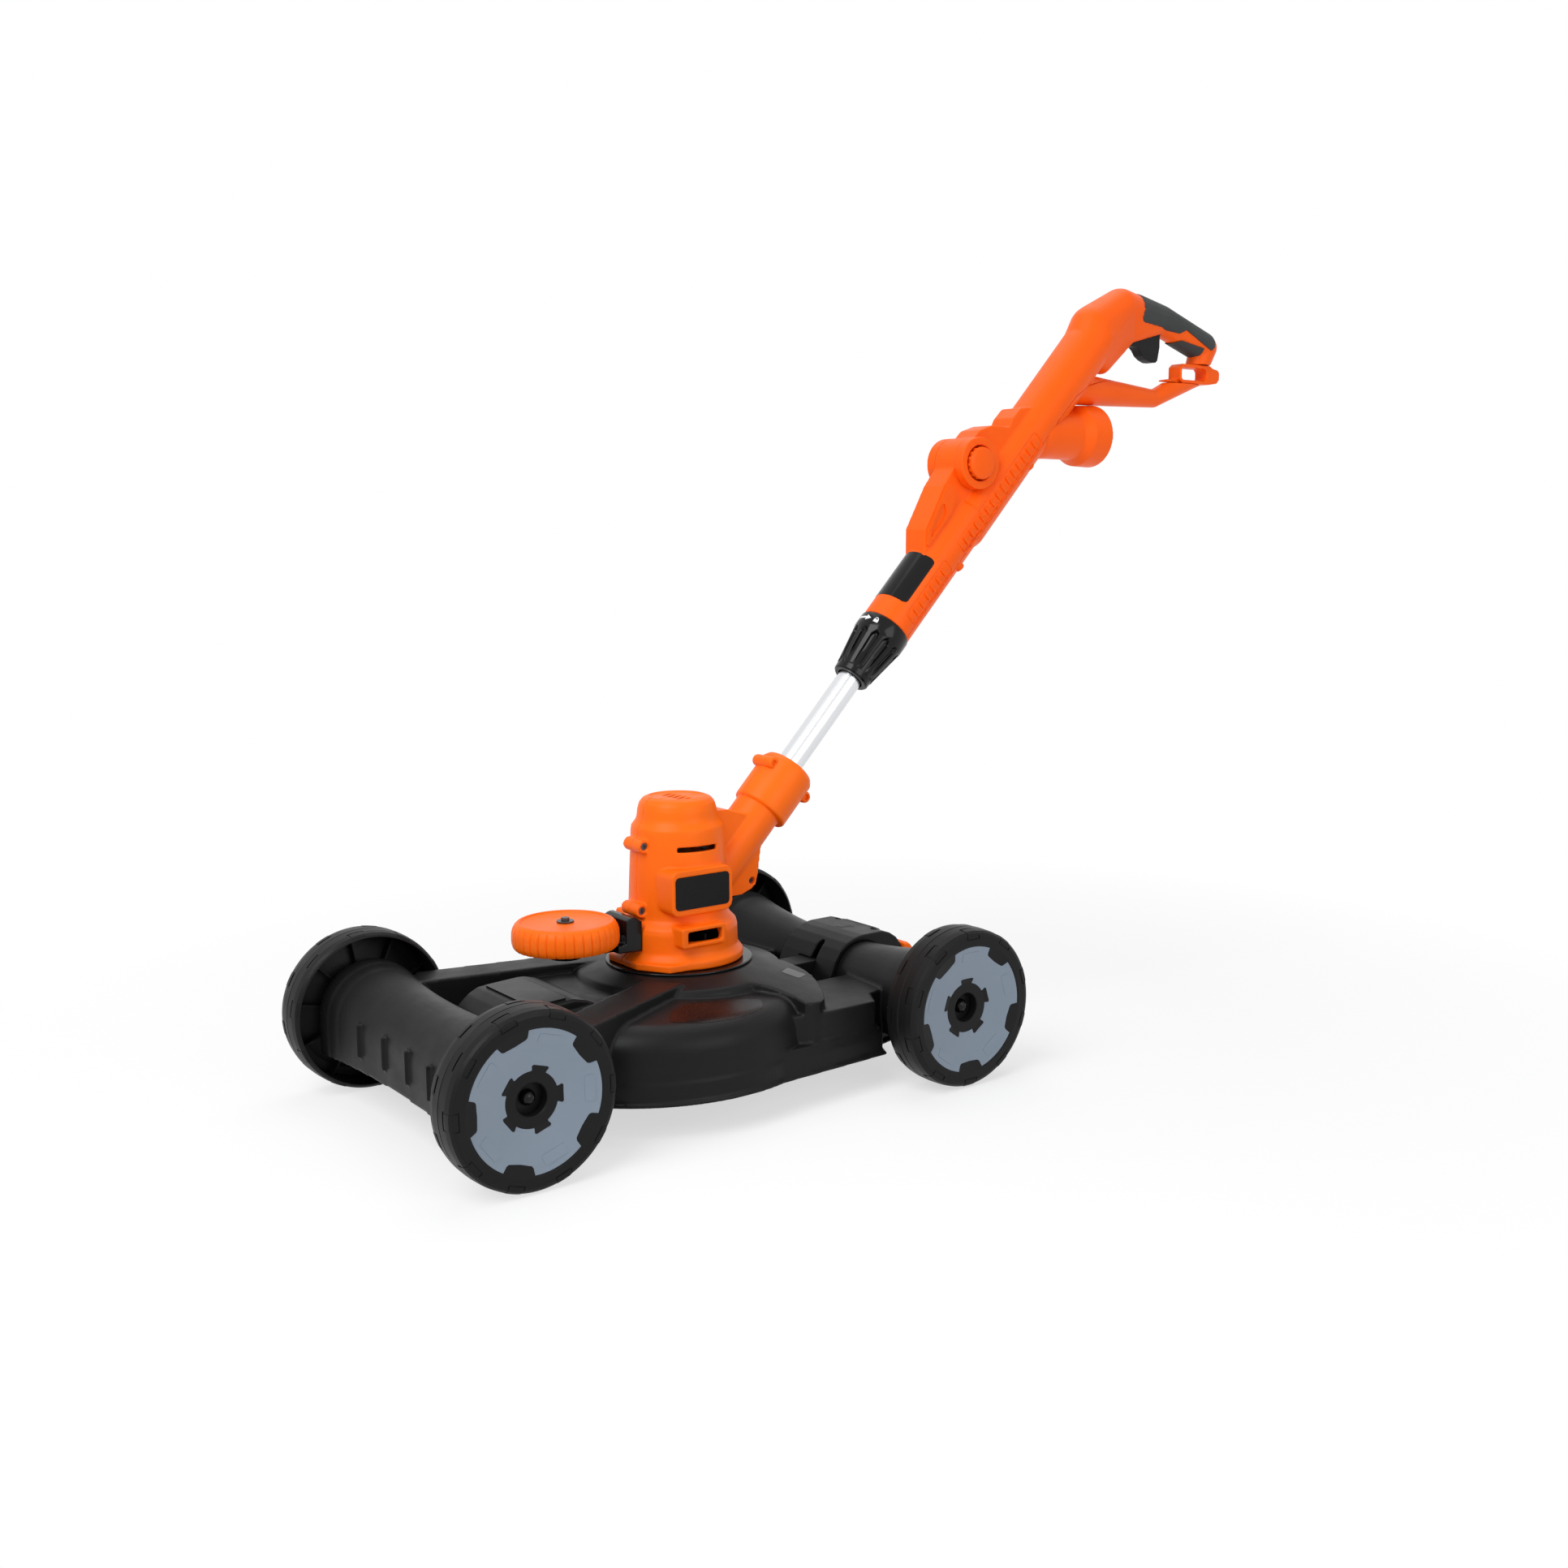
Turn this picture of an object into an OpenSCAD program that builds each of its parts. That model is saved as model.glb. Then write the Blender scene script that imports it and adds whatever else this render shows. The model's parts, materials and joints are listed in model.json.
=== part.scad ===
// Wheeled string trimmer: a corded line trimmer docked on a small four-wheel mowing deck.
// Units are millimetres. X runs across, the front is at -Y, Z is up and the ground is z = 0.
// Every part is drawn about the cutting axis; place() then puts the origin under the middle.

/* [Fits] */
// Radial gap of a shaft or wheel that turns in its bore
run_gap = 0.06; // [0.02:0.01:0.1]
// Radial gap of a piece that is pressed or screwed fast
fit_gap = 0.03; // [0.01:0.01:0.1]
// Gap between parts that move past each other
clear_gap = 0.5; // [0.3:0.1:1.5]

/* [Wheels] */
// Radius of all four wheels over the tread
wheel_r = 76.2; // [65:0.2:90]
// Width of a wheel over the tread
wheel_w = 39; // [30:1:50]
// Half of the distance between the outer faces of the front wheels
front_track = 178.6; // [165:0.2:200]
// Half of the distance between the outer faces of the rear wheels
rear_track = 205.2; // [190:0.2:230]
// Distance of the front axle ahead of the round front of the deck
front_gap = 54; // [44:1:66]
// Distance of the rear axle behind the cutting axis
rear_axle_y = 194; // [180:1:215]
// Radius of the coloured cover disc in the wheel face
disc_r = 60.2; // [50:0.2:64]
// Thickness of the cover disc
disc_t = 1.8; // [1:0.1:3]
// Radius of the rim lands that reach into the cover disc
land_r = 51.6; // [44:0.2:56]
// Radius of the toothed hub face
gear_r = 23.8; // [19:0.2:28]
// Height of the five teeth of the hub face
gear_tooth = 4.4; // [2:0.2:6]
// Number of lands and of hub teeth
land_count = 5; // [4:1:7]
// Number of grip notches on each shoulder of the tread
tread_notches = 10; // [8:1:16]
// Depth by which the wheel face is dished at the hub
dish = 8; // [5:0.5:10]
// Number of stiffening ribs behind the wheel face
wheel_ribs = 10; // [6:1:14]

/* [Axles] */
// Radius of the steel axle rods
axle_r = 4.75; // [4:0.25:6]
// Radius of the push caps on the axle ends
cap_r = 6.8; // [6.2:0.1:9]
// Depth of the hub well in which the cap sits
well_depth = 10; // [8:0.5:14]

/* [Deck] */
// Outer radius of the round front of the deck
deck_r = 162; // [155:1:175]
// How far the round front is centred ahead of the cutting axis
bowl_y = 38; // [25:1:50]
// Height of the lower edge of the deck above the ground
deck_floor = 31; // [25:1:45]
// Wall thickness of the deck moulding
deck_wall = 3; // [2.4:0.2:4]
// Height of the lower proud band of the skirt
band_h = 20; // [14:1:28]
// Height of the flat deck roof
roof_z = 104; // [98:1:110]
// Radius of the shoulder between skirt and roof
shoulder_r = 26; // [16:1:32]
// Radius of the raised platform round the dock
platform_r = 100; // [92:1:108]
// Height of the platform
platform_z = 115.5; // [110:0.5:120]
// Height of the flat rear part of the deck
rear_z = 90; // [80:1:98]
// Radius of the front axle tunnel at its middle
front_tunnel_r = 39; // [34:1:44]
// Radius of the rear axle tunnel at its middle
rear_tunnel_r = 32; // [30:0.5:38]
// Radius of the tunnel collars beside the wheels
collar_r = 49; // [44:1:54]
// Height of the open lower edge of the axle tunnels
tunnel_floor = 42; // [36:1:52]

/* [Dock] */
// Inner radius of the docking sleeve
dock_r = 57; // [54:0.5:60]
// Wall of the docking sleeve
dock_wall = 3; // [2:0.2:4]
// Depth of the docking sleeve below its rim
dock_depth = 20; // [16:1:21]

/* [Release pedal] */
// Half width of the pedal cover box
cover_half = 43; // [38:1:50]
// Height of the top of the pedal cover
cover_z = 116; // [112:0.5:120]
// Half width of the foot pedal inside its cover
pedal_half = 22; // [18:1:25]
// Half width of the tread at the rear of the pedal
tread_half = 46; // [36:1:56]
// How far the foot pedal reaches behind its cover
pedal_out = 13; // [10:0.5:18]
// Radius of the pedal pin
pedal_pin_r = 3; // [2:0.25:4]

/* [Motor head] */
// Radius of the motor can at its foot
can_r = 48; // [45:0.5:52]
// Radius of the motor can below its cap
can_top_r = 44.2; // [42:0.2:46]
// Radius of the cap
cap_top_r = 38.5; // [34:0.5:41]
// Height of the top of the cap above the ground
head_top = 275; // [268:1:282]
// Radius of the foot of the housing above the flange
foot_r = 57; // [54:0.5:60]
// Radius of the docking flange
flange_r = 62; // [60.5:0.5:66]
// Wall thickness of the motor housing
head_wall = 3; // [2.4:0.2:4]
// Radius of the neck that takes the pole
neck_r = 23.6; // [21:0.2:26]
// Radius of the ring at the top of the neck
neck_ring_r = 28.6; // [26:0.2:31]
// Length of the ring at the top of the neck
neck_ring_l = 55; // [40:1:62]

/* [Motor] */
// Outer radius of the stator stack
stator_r = 37; // [33:0.5:39]
// Radius of the armature stack
armature_r = 23; // [19:0.5:26]
// Length of the armature stack
stack_l = 52; // [40:1:60]
// Radius of the motor shaft
shaft_r = 4; // [3:0.25:5]
// Radius of the cooling fan
fan_r = 47; // [40:1:50]

/* [Cutting head] */
// Radius of the spool housing
spool_r = 46; // [40:1:50]
// Height of the cutting line above the ground
line_z = 52; // [46:1:60]
// Radius swept by the line ends
swath_r = 150; // [138:1:150.5]
// Radius of the cutting line
line_r = 1; // [0.8:0.1:1.3]

/* [Guide wheel] */
// Radius of the edge guide wheel
guide_r = 49.5; // [45:0.5:52]
// Thickness of the edge guide wheel
guide_w = 25; // [20:1:28]
// Distance of its axis ahead of the cutting axis
guide_y = 124; // [122:1:132]
// Height of the top of the guide wheel
guide_top = 171; // [166:1:176]
// Number of tread notches
guide_notches = 30; // [20:1:36]

/* [Pole] */
// Tilt of the pole from the horizontal
pole_tilt = 46.15; // [44:0.05:48]
// Distance behind the cutting axis at which the pole leaves the neck
pole_y = 135.7; // [132:0.1:140]
// Height at which the pole leaves the neck
pole_z = 292.6; // [288:0.1:298]
// Outer radius of the pole tube
tube_r = 12.7; // [11:0.1:14]
// Wall of the pole tube
tube_wall = 1.5; // [1:0.1:2]
// Length of tube held inside the neck
tube_in = 64; // [50:1:70]
// Length of tube beyond the neck
tube_out = 335; // [310:1:350]

/* [Handle] */
// Distance along the pole at which the lock collar starts
lock_w = 112; // [104:1:116]
// Length of the lock collar
lock_l = 67; // [58:1:74]
// Radius of the lock collar at its lower end
lock_r = 19.5; // [18.5:0.5:21.5]
// Radius of the lock collar at its upper end
lock_top_r = 28; // [26:0.5:30]
// Number of grip flutes round the lock collar
lock_flutes = 12; // [8:1:16]
// Radius of the handle barrel
barrel_r = 27; // [26:0.5:28]
// Wall of the handle shells
shell_wall = 3; // [2.4:0.2:3.6]
// Radius of the D grip
grip_r = 16.5; // [15.5:0.5:18]
// Radius of the bosses for a second handle
hub_r = 27; // [24:0.5:29]
// Half width over the bosses for a second handle
hub_half = 27; // [25:0.5:30]
// Radius of the push button in the near boss
button_r = 15.5; // [13:0.5:17]
// Half thickness of the trigger
trigger_half = 6.5; // [5:0.5:8]

/* [Plug inlet] */
// Mouth radius of the plug shroud
shroud_r = 33.5; // [31:0.5:36]
// Height of the shroud axis
shroud_z = 625.5; // [622:0.5:629]
// Distance of the shroud mouth behind the cutting axis
shroud_y = 563; // [556:1:570]

/* [Cord retainer] */
// Distance of the retainer's rear end behind the cutting axis
retainer_y = 774; // [770:1:780]
// Height of the retainer's middle
retainer_z = 702; // [699:1:705]

/* [Hidden] */
$fn = 72;
front_axle_y = bowl_y + deck_r + front_gap;
mid_y = (retainer_y - front_axle_y - wheel_r) / 2;
bore_r = axle_r + run_gap;
hub_back = 26;
face_t = 7;
rim_t = 5;
disc_in = 0.3;
axle_back = dish + 6.5;
well_z = dish + well_depth;
tunnel_in = 28.5;
front_tunnel = front_track - tunnel_in;
rear_tunnel = rear_track - tunnel_in;
dock_top = platform_z + 2.5;
flange_z = dock_top + 0.4;
spigot_z = dock_top - dock_depth - 9;
spigot_r = dock_r - clear_gap;
latch_z = rear_z - deck_wall - 5.2;
latch_t = 4.2;
hook_y = spigot_r + 1.1;
pole_lean = pole_tilt - 90;
seat_z = spigot_z + 4;
stator_z = 172;
top_seat_z = 250;
comm_z = 232;
fan_z = 136;
spool_top = spigot_z - 2;
spool_low = line_z - 8;
line_turn = 20;
guide_low = guide_top - guide_w;
bracket_z = guide_low - 10;
cover_y0 = rear_axle_y - 46;
cover_y1 = rear_axle_y + 55;
cover_t = 4;
pedal_y = rear_axle_y + 17;
pedal_z = wheel_r - 4.2;
pedal_reach = cover_y1 + pedal_out;
tread_z = pedal_z + 22;
loop_y = pedal_y - 14;
lock_end = lock_w + lock_l;
handle_w = lock_end + clear_gap;
hub_v = -40;
hub_w = 376;
fin_half = 15;
ring_r = 18.5;
trigger_y = 621;
trigger_z = 748;
post_x = tube_r + 5.3;
post_head = 18;
plate_y = 87 - front_axle_y;
plate_z = 110;
plate_tilt = 2.74;
cover_screw_x = cover_half - 14;
cover_screw_y = rear_axle_y + 29;
cover_seat = cover_z - 4;
valley_x = 60;
valley_z = 64;
bridge_x = 14;
side_z = 85;

// Shared helpers

module place() translate([0, -mid_y, 0]) children();

module along_x(x0, x1, r) translate([x0, 0, 0]) rotate([0, 90, 0]) cylinder(r = r, h = x1 - x0);

module ring(r, ri, h) difference() {
  cylinder(r = r, h = h);
  translate([0, 0, -1]) cylinder(r = ri, h = h + 2);
}

module round_rect(w, h, r) {
  square([w - 2 * r, h], center = true);
  square([w, h - 2 * r], center = true);
  for (sx = [-1, 1], sy = [-1, 1]) translate([sx * (w / 2 - r), sy * (h / 2 - r)]) circle(r = r, $fn = 32);
}

// Extrudes a drawing of the Y-Z plane across X between two X positions
module across(x0, x1) translate([x0, 0, 0]) rotate([90, 0, 90]) linear_extrude(x1 - x0) children();

// Puts children into the frame of the pole: local Z runs up the pole, local Y is its rear side
module on_pole() translate([0, pole_y, pole_z]) rotate([pole_lean, 0, 0]) children();

module keep_right() difference() {
  children();
  translate([-500, -500, -100]) cube([500, 1600, 1300]);
}

module keep_left() difference() {
  children();
  translate([0, -500, -100]) cube([500, 1600, 1300]);
}

function arc(cr, cz, r, a0, a1, n) = [for (i = [0:n]) [cr + r * cos(a0 + (a1 - a0) * i / n),
  cz + r * sin(a0 + (a1 - a0) * i / n)]];

// A screw along local Z with its head on top, at z = 0
module screw(r, len, head_r, head_h) difference() {
  union() {
    translate([0, 0, -len]) cylinder(r = r, h = len, $fn = 32);
    cylinder(r = head_r, h = head_h, $fn = 40);
  }
  translate([0, 0, head_h - 1.4]) for (a = [0, 90]) rotate(a) translate([-head_r * 0.6, -0.5, 0])
    cube([head_r * 1.2, 1, 2]);
}

// Wheels: local Z runs from the outer face inward

module wheel_spot(side, track, y, spin) translate([side * track, y, wheel_r])
  mirror([side < 0 ? 1 : 0, 0, 0]) rotate([0, -90, 0]) rotate([0, 0, spin]) children();

module gear_outline(g) {
  circle(r = gear_r - g);
  for (i = [0:land_count - 1]) rotate(i * 360 / land_count) polygon([[10, -6.4 + g], [10, 6.4 - g],
    [gear_r, 6.6 - g], [gear_r + gear_tooth - 1.2 - g, 7.9 - g], [gear_r + gear_tooth - g, 6.6 - g],
    [gear_r + gear_tooth - g, -6.6 + g], [gear_r + gear_tooth - 1.2 - g, -7.9 + g], [gear_r, -6.6 + g]]);
}

module disc_outline(g) difference() {
  circle(r = disc_r + g);
  for (i = [0:land_count - 1]) rotate((i + 0.5) * 360 / land_count)
    polygon([[land_r - 0.6 + g, 0], [land_r + g, 10.5 - g], [land_r + 1.4, 12.4 - g], [land_r + 5, 14 - g],
      [disc_r + 6, 18.4 - g], [disc_r + 6, -18.4 + g], [land_r + 5, -14 + g], [land_r + 1.4, -12.4 + g],
      [land_r + g, -10.5 + g]]);
  gear_outline(g);
}

// Height of the dished wheel face at a radius
function face_z(r) = dish * min(1, max(0, (disc_r + 2 - r) / (disc_r + 2 - gear_r)));

module dished(z0, z1) rotate_extrude($fn = 120) polygon([[10, face_z(10) + z0], [gear_r, face_z(gear_r) + z0],
  [disc_r + 2, z0], [disc_r + 2, z1], [gear_r, face_z(gear_r) + z1], [10, face_z(10) + z1]]);

module wheel_profile() polygon([
  [bore_r, well_z], [13.9, well_z], [13.9, dish + 0.8], [14.7, dish], [gear_r, dish], [disc_r + 2, 0],
  [wheel_r - 6, 0], [wheel_r - 3.4, 0.9], [wheel_r - 1.4, 3.2], [wheel_r - 0.4, 9], [wheel_r, wheel_w / 2 - 0.8],
  [wheel_r - 0.7, wheel_w / 2], [wheel_r, wheel_w / 2 + 0.8], [wheel_r - 0.4, wheel_w - 9],
  [wheel_r - 1.4, wheel_w - 3.2], [wheel_r - 3.4, wheel_w - 0.9], [wheel_r - rim_t, wheel_w],
  [wheel_r - rim_t - 1.5, face_t], [disc_r + 2, face_t], [gear_r, face_t + dish], [17, face_t + dish],
  [11.5, well_z + 4], [11, hub_back], [bore_r, hub_back]]);

module wheel_rib() rotate([90, 0, 0]) translate([0, 0, -0.9]) linear_extrude(1.8) polygon([[15, dish + 5],
  [gear_r, dish + 4], [disc_r + 2, 4], [wheel_r - rim_t - 0.4, 4], [wheel_r - rim_t - 0.4, face_t + 9],
  [15, face_t + dish + 9]]);

module wheel() color("#232324") difference() {
  union() {
    rotate_extrude($fn = 120) wheel_profile();
    for (i = [0:wheel_ribs - 1]) rotate((i + 0.5) * 360 / wheel_ribs) wheel_rib();
  }
  intersection() {
    dished(-2, disc_in + disc_t + 0.1);
    translate([0, 0, -5]) linear_extrude(40) disc_outline(0.15);
  }
  for (i = [0:tread_notches - 1], side = [0, 1]) rotate((i + side / 2) * 360 / tread_notches) {
    translate([wheel_r - 1.2, -8, side > 0 ? wheel_w - 12 : -1]) cube([4, 16, 13]);
    if (side == 0) translate([wheel_r - 9, -8, -1]) cube([10, 16, 1.7]);
  }
}

module wheel_disc() color("#8593a1") {
  intersection() {
    dished(disc_in, disc_in + disc_t);
    translate([0, 0, -5]) linear_extrude(40) disc_outline(0);
  }
  for (i = [0:land_count - 1]) rotate(i * 360 / land_count) intersection() {
    dished(0, disc_in + 0.2);
    translate([disc_r - 10, 0, -5]) linear_extrude(40) round_rect(9, 22, 2);
  }
}

module axle(track, y) color("#a9adb2") translate([0, y, wheel_r])
  along_x(-track + axle_back, track - axle_back, axle_r);

module axle_cap() rotate_extrude() polygon([[0, dish + 2.4], [1.8, dish + 2.6], [3.6, dish + 3.3], [5, dish + 4.4],
  [6.2, dish + 6], [cap_r, dish + 8],
  [cap_r, well_z - clear_gap], [axle_r + fit_gap, well_z - clear_gap],
  [axle_r + fit_gap, axle_back - 0.2], [0, axle_back - 0.2]]);

module axle_caps() color("#1d1d1d") for (s = [-1, 1]) {
  wheel_spot(s, front_track, -front_axle_y, 0) axle_cap();
  wheel_spot(s, rear_track, rear_axle_y, 0) axle_cap();
}

// Deck: every form takes t = 0 for its outside and t = the wall for its inside

module bowl(t) translate([0, -bowl_y, 0]) rotate_extrude($fn = 144) polygon(concat(
  t > 0 ? [[0, deck_floor - 1], [deck_r - t, deck_floor - 1]]
    : [[0, deck_floor], [deck_r + 4.5, deck_floor], [deck_r + 4.5, deck_floor + 3],
      [deck_r + 2, deck_floor + 3.5], [deck_r + 1.6, deck_floor + band_h], [deck_r - 0.2, deck_floor + band_h + 0.6],
      [deck_r - 0.2, deck_floor + band_h + 2], [deck_r + 0.4, deck_floor + band_h + 2.6]],
  arc(deck_r - shoulder_r - 1.5, roof_z - shoulder_r - 5, shoulder_r - t, 0, 78, 8),
  [[84, roof_z - t], [0, roof_z - t]]));

module rear_plan(g) polygon([for (s = [1, -1]) for (p = s > 0
  ? [[157, -20], [150, 128], [126, 140], [112, rear_axle_y]]
  : [[112, rear_axle_y], [126, 140], [150, 128], [157, -20]]) [s * (p[0] + g), p[1] + (p[1] > 0 ? g : 0)]]);

module upper_plan(g) polygon([for (s = [1, -1]) for (p = s > 0
  ? [[140, 20], [147, 38], [150, 62], [150, 122], [126, 136], [112, rear_axle_y]]
  : [[112, rear_axle_y], [126, 136], [150, 122], [150, 62], [147, 38], [140, 20]]) [s * (p[0] + g), p[1] + (p[1] > 60 ? g : 0)]]);

// Side blocks behind the round front, joined by a low floor
module rear_block(t) difference() {
  union() {
    translate([0, 0, deck_floor - (t > 0 ? 1 : 0)]) linear_extrude(58 - deck_floor - t + (t > 0 ? 1 : 0)) rear_plan(-t);
    translate([0, 0, deck_floor]) linear_extrude(side_z - deck_floor - t) upper_plan(-t);
    if (t == 0) translate([0, 0, deck_floor]) linear_extrude(band_h) rear_plan(1.6);
    if (t == 0) translate([0, 0, deck_floor]) linear_extrude(3) rear_plan(4.5);
  }
  translate([-valley_x - t, 100 - t, valley_z - t]) cube([2 * valley_x + 2 * t, 70 + t, 60]);
}

// Raised sector that falls from the platform to the end of each side block
module rear_arm(s) intersection() {
  translate([0, 0, 60]) linear_extrude(70) polygon([for (p = [[30, 40], [58, -24], [80, -20], [92, 6], [104, 22], [118, 32],
    [132, 37], [148, 40], [150, 46], [149.5, 56], [143, 66], [128, 76], [110, 85], [92, 92], [74, 95], [48, 90]])
    [s * p[0], p[1]]]);
  rotate_extrude($fn = 120) polygon([[0, 60], [175, 60], [175, platform_z - 23.5], [72, platform_z - 0.2], [0, platform_z - 0.2]]);
}

module latch_bridge(t) translate([-bridge_x + t, 100, 59]) cube([2 * bridge_x - 2 * t, 65, rear_z - 59 - t]);

module platform(t) rotate_extrude($fn = 120) polygon([[0, roof_z - 16 - t], [platform_r + 4 - t, roof_z - 16 - t],
  [platform_r - t, platform_z - 9 - t], [platform_r - 3 - t, platform_z - 6 - t], [74, platform_z - t],
  [0, platform_z - t]]);

module arm(s, t) translate([s * 58, -52, 0]) rotate([0, 0, s * 21]) across(-19 + t, 19 - t)
  polygon([[t, 70], [t, platform_z - 1 - t], [-60, platform_z - 3 - t], [78 - front_axle_y, 107 - t],
    [68 - front_axle_y + t, 90], [68 - front_axle_y + t, 70]]);

module front_pad(t) across(-50 + t, 50 - t) polygon([[38 - front_axle_y + t, 70],
  [42 - front_axle_y + t, 94 - t], [54 - front_axle_y + t, 104 - t],
  [plate_y - 23, plate_z - 23 * tan(plate_tilt) - t], [plate_y + 23, plate_z + 23 * tan(plate_tilt) - t],
  [122 - front_axle_y - t, 108 - t], [142 - front_axle_y - t, 98 - t], [142 - front_axle_y - t, 70]]);

function tunnel_r(x, r0, len) = r0 + (collar_r - 4 - r0) * pow(x / (len - 34), 2);

// Half outline of an axle tunnel: radius against distance from the middle
function tunnel_line(r0, len, t) = concat([for (i = [0:5]) [tunnel_r(i / 5 * (len - 36), r0, len) - t,
  i / 5 * (len - 36)]], [[collar_r - 3 - t, len - 31], [collar_r - 1.5 - t, len - 20], [collar_r - t, len - 17],
  [collar_r - t, len - (t > 0 ? 4 : 0)]]);

module tunnel(y, r0, len, t) translate([0, y, wheel_r]) for (s = [-1, 1]) {
  rotate([0, s * 90, 0]) rotate_extrude($fn = 96) polygon(concat([[0, 0]], tunnel_line(r0, len, t),
    [[0, len - (t > 0 ? 4 : 0)]]));
  translate([0, 0, tunnel_floor - wheel_r - (t > 0 ? 1 : 0)]) linear_extrude(wheel_r - tunnel_floor + (t > 0 ? 1 : 0))
    for (m = [-1, 1]) polygon(concat([[0, 0]], [for (p = tunnel_line(r0, len, t)) [s * p[1], m * p[0]]],
      [[s * (len - (t > 0 ? 4 : 0)), 0]]));
}

module below_tunnel(y, len) translate([-len - 1, y - 70, 0]) cube([2 * len + 2, 140, tunnel_floor]);

// Plates under the tunnels that carry the axle
module axle_plates(y, r0, len, spots) for (x = spots) difference() {
  translate([x - 2, y, wheel_r]) along_x(0, 4, tunnel_r(x, r0, len) - 1);
  below_tunnel(y, len);
}

module front_ribs() for (x = [-72, -24, 24, 72])
  translate([x - 1.5, -front_axle_y - tunnel_r(x, front_tunnel_r, front_tunnel) - 4, 57]) cube([3, 12, 31]);

module latch_guide(y) difference() {
  translate([-13, y, latch_z - 3]) cube([26, 6, rear_z - 1 - latch_z + 3]);
  translate([-9, y - 1, latch_z - clear_gap]) cube([18, 8, latch_t + 2 * clear_gap]);
}

module deck_shell() color("#2b2b2c") difference() {
  union() {
    difference() {
      union() {
        bowl(0);
        rear_block(0);
        platform(0);
        front_pad(0);
        for (s = [-1, 1]) {
          arm(s, 0);
          rear_arm(s);
        }
        latch_bridge(0);
        tunnel(-front_axle_y, front_tunnel_r, front_tunnel, 0);
        front_ribs();
        tunnel(rear_axle_y, rear_tunnel_r, rear_tunnel, 0);
      }
      bowl(deck_wall);
      rear_block(deck_wall);
      latch_bridge(deck_wall);
      platform(deck_wall);
      front_pad(deck_wall);
      for (s = [-1, 1]) arm(s, deck_wall);
      tunnel(-front_axle_y, front_tunnel_r, front_tunnel, deck_wall);
      tunnel(rear_axle_y, rear_tunnel_r, rear_tunnel, deck_wall);
      below_tunnel(-front_axle_y, front_tunnel);
      translate([-rear_tunnel - 1, rear_axle_y, 0]) cube([2 * rear_tunnel + 2, 80, tunnel_floor]);
    }
    axle_plates(-front_axle_y, front_tunnel_r, front_tunnel, [-70, 70]);
    axle_plates(rear_axle_y, rear_tunnel_r, rear_tunnel, [-70, -pedal_half - 5, pedal_half + 5, 70]);
    for (y = [128, 142]) latch_guide(y);
    for (s = [-1, 1]) translate([s * cover_screw_x, cover_screw_y, wheel_r + 6]) cylinder(r = 4,
      h = cover_z - cover_t - 2 - wheel_r - 6);
  }
  for (y = [-front_axle_y, rear_axle_y]) translate([0, y, wheel_r]) along_x(-300, 300, axle_r + fit_gap);
  translate([0, 0, 60]) cylinder(r = dock_r + dock_wall + 0.2, h = 90);
  translate([0, 0, platform_z]) cylinder(r = dock_r + 14.6, h = 20);
  translate([-pedal_half - 1.5, cover_y0 + 14, latch_z - 1]) cube([2 * pedal_half + 3, 120, 60]);
  translate([0, pedal_y, pedal_z]) along_x(-pedal_half - 8, pedal_half + 8, pedal_pin_r + fit_gap);
  for (s = [-1, 1]) translate([s * cover_screw_x, cover_screw_y, 60]) cylinder(r = 1.6 + fit_gap, h = 70);
}

module dock_ring() color("#151516") translate([0, 0, dock_top]) rotate_extrude($fn = 96) polygon([
  [dock_r, -dock_depth], [dock_r + dock_wall, -dock_depth], [dock_r + dock_wall, -2.45], [dock_r + 13, -2.45],
  [dock_r + 14, -1.6], [dock_r + 13.4, 0], [dock_r, 0]]);

module deck_plate() color("#19191a") translate([0, plate_y, plate_z + 0.02]) rotate([plate_tilt, 0, 0])
  linear_extrude(1.6) round_rect(88, 36, 3);

// Release pedal, latch and cover

module cover_block(t) across(-cover_half + t, cover_half - t) polygon([[cover_y0 + t, valley_z - t * 3],
  [cover_y0 + t, valley_z], [cover_y0 + 5 + t, 80], [cover_y0 + 11 + t, 94], [cover_y0 + 18 + t, 104 - t * 0.6],
  [cover_y0 + 27 + t * 0.6, 110.5 - t], [cover_y0 + 38, 114.5 - t], [cover_y0 + 48, cover_z - t], [cover_y1 - 27, cover_z - t],
  [cover_y1 - 17 - t * 0.3, 113 - t], [cover_y1 - 8 - t * 0.6, 107 - t], [cover_y1 - 2 - t, 99], [cover_y1 - t, 92],
  [cover_y1 - t, 90 - t * 3]]);

module pedal_cover() color("#2b2b2c") difference() {
  union() {
    cover_block(0);
    for (i = [0:3]) translate([-25, cover_y1 - 25 + i * 4, cover_z - 3 - i * i * 0.5]) cube([50, 1.6, 3.4 - i * 0.3]);
    translate([0, cover_y0 + 62, cover_z - 2]) linear_extrude(2.5) polygon([[-5, -12], [5, -12], [5, 0], [10, 0], [0, 10],
      [-10, 0], [-5, 0]]);
  }
  cover_block(cover_t);
  tunnel(rear_axle_y, rear_tunnel_r + 0.1, rear_tunnel, 0);
  latch_bridge(-0.1);
  translate([-pedal_half - 1.5, cover_y1 - 14, 60]) cube([2 * pedal_half + 3, 30, 42]);
  translate([-100, cover_y1 - 20, 0]) cube([200, 60, 90.05]);
  translate([9, cover_y0 + 30, 97]) rotate([90, 0, 0]) linear_extrude(50) round_rect(8.6, 21, 4);
  for (s = [-1, 1]) translate([s * cover_screw_x, cover_screw_y, 0]) {
    cylinder(r = 1.6 + fit_gap, h = 200);
    translate([0, 0, cover_seat]) cylinder(r = 4, h = 10);
  }
}

module cover_screws() color("#4a4b4d") for (s = [-1, 1]) translate([s * cover_screw_x, cover_screw_y, cover_seat])
  screw(1.6, 10, 3.2, 1.6);

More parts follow.
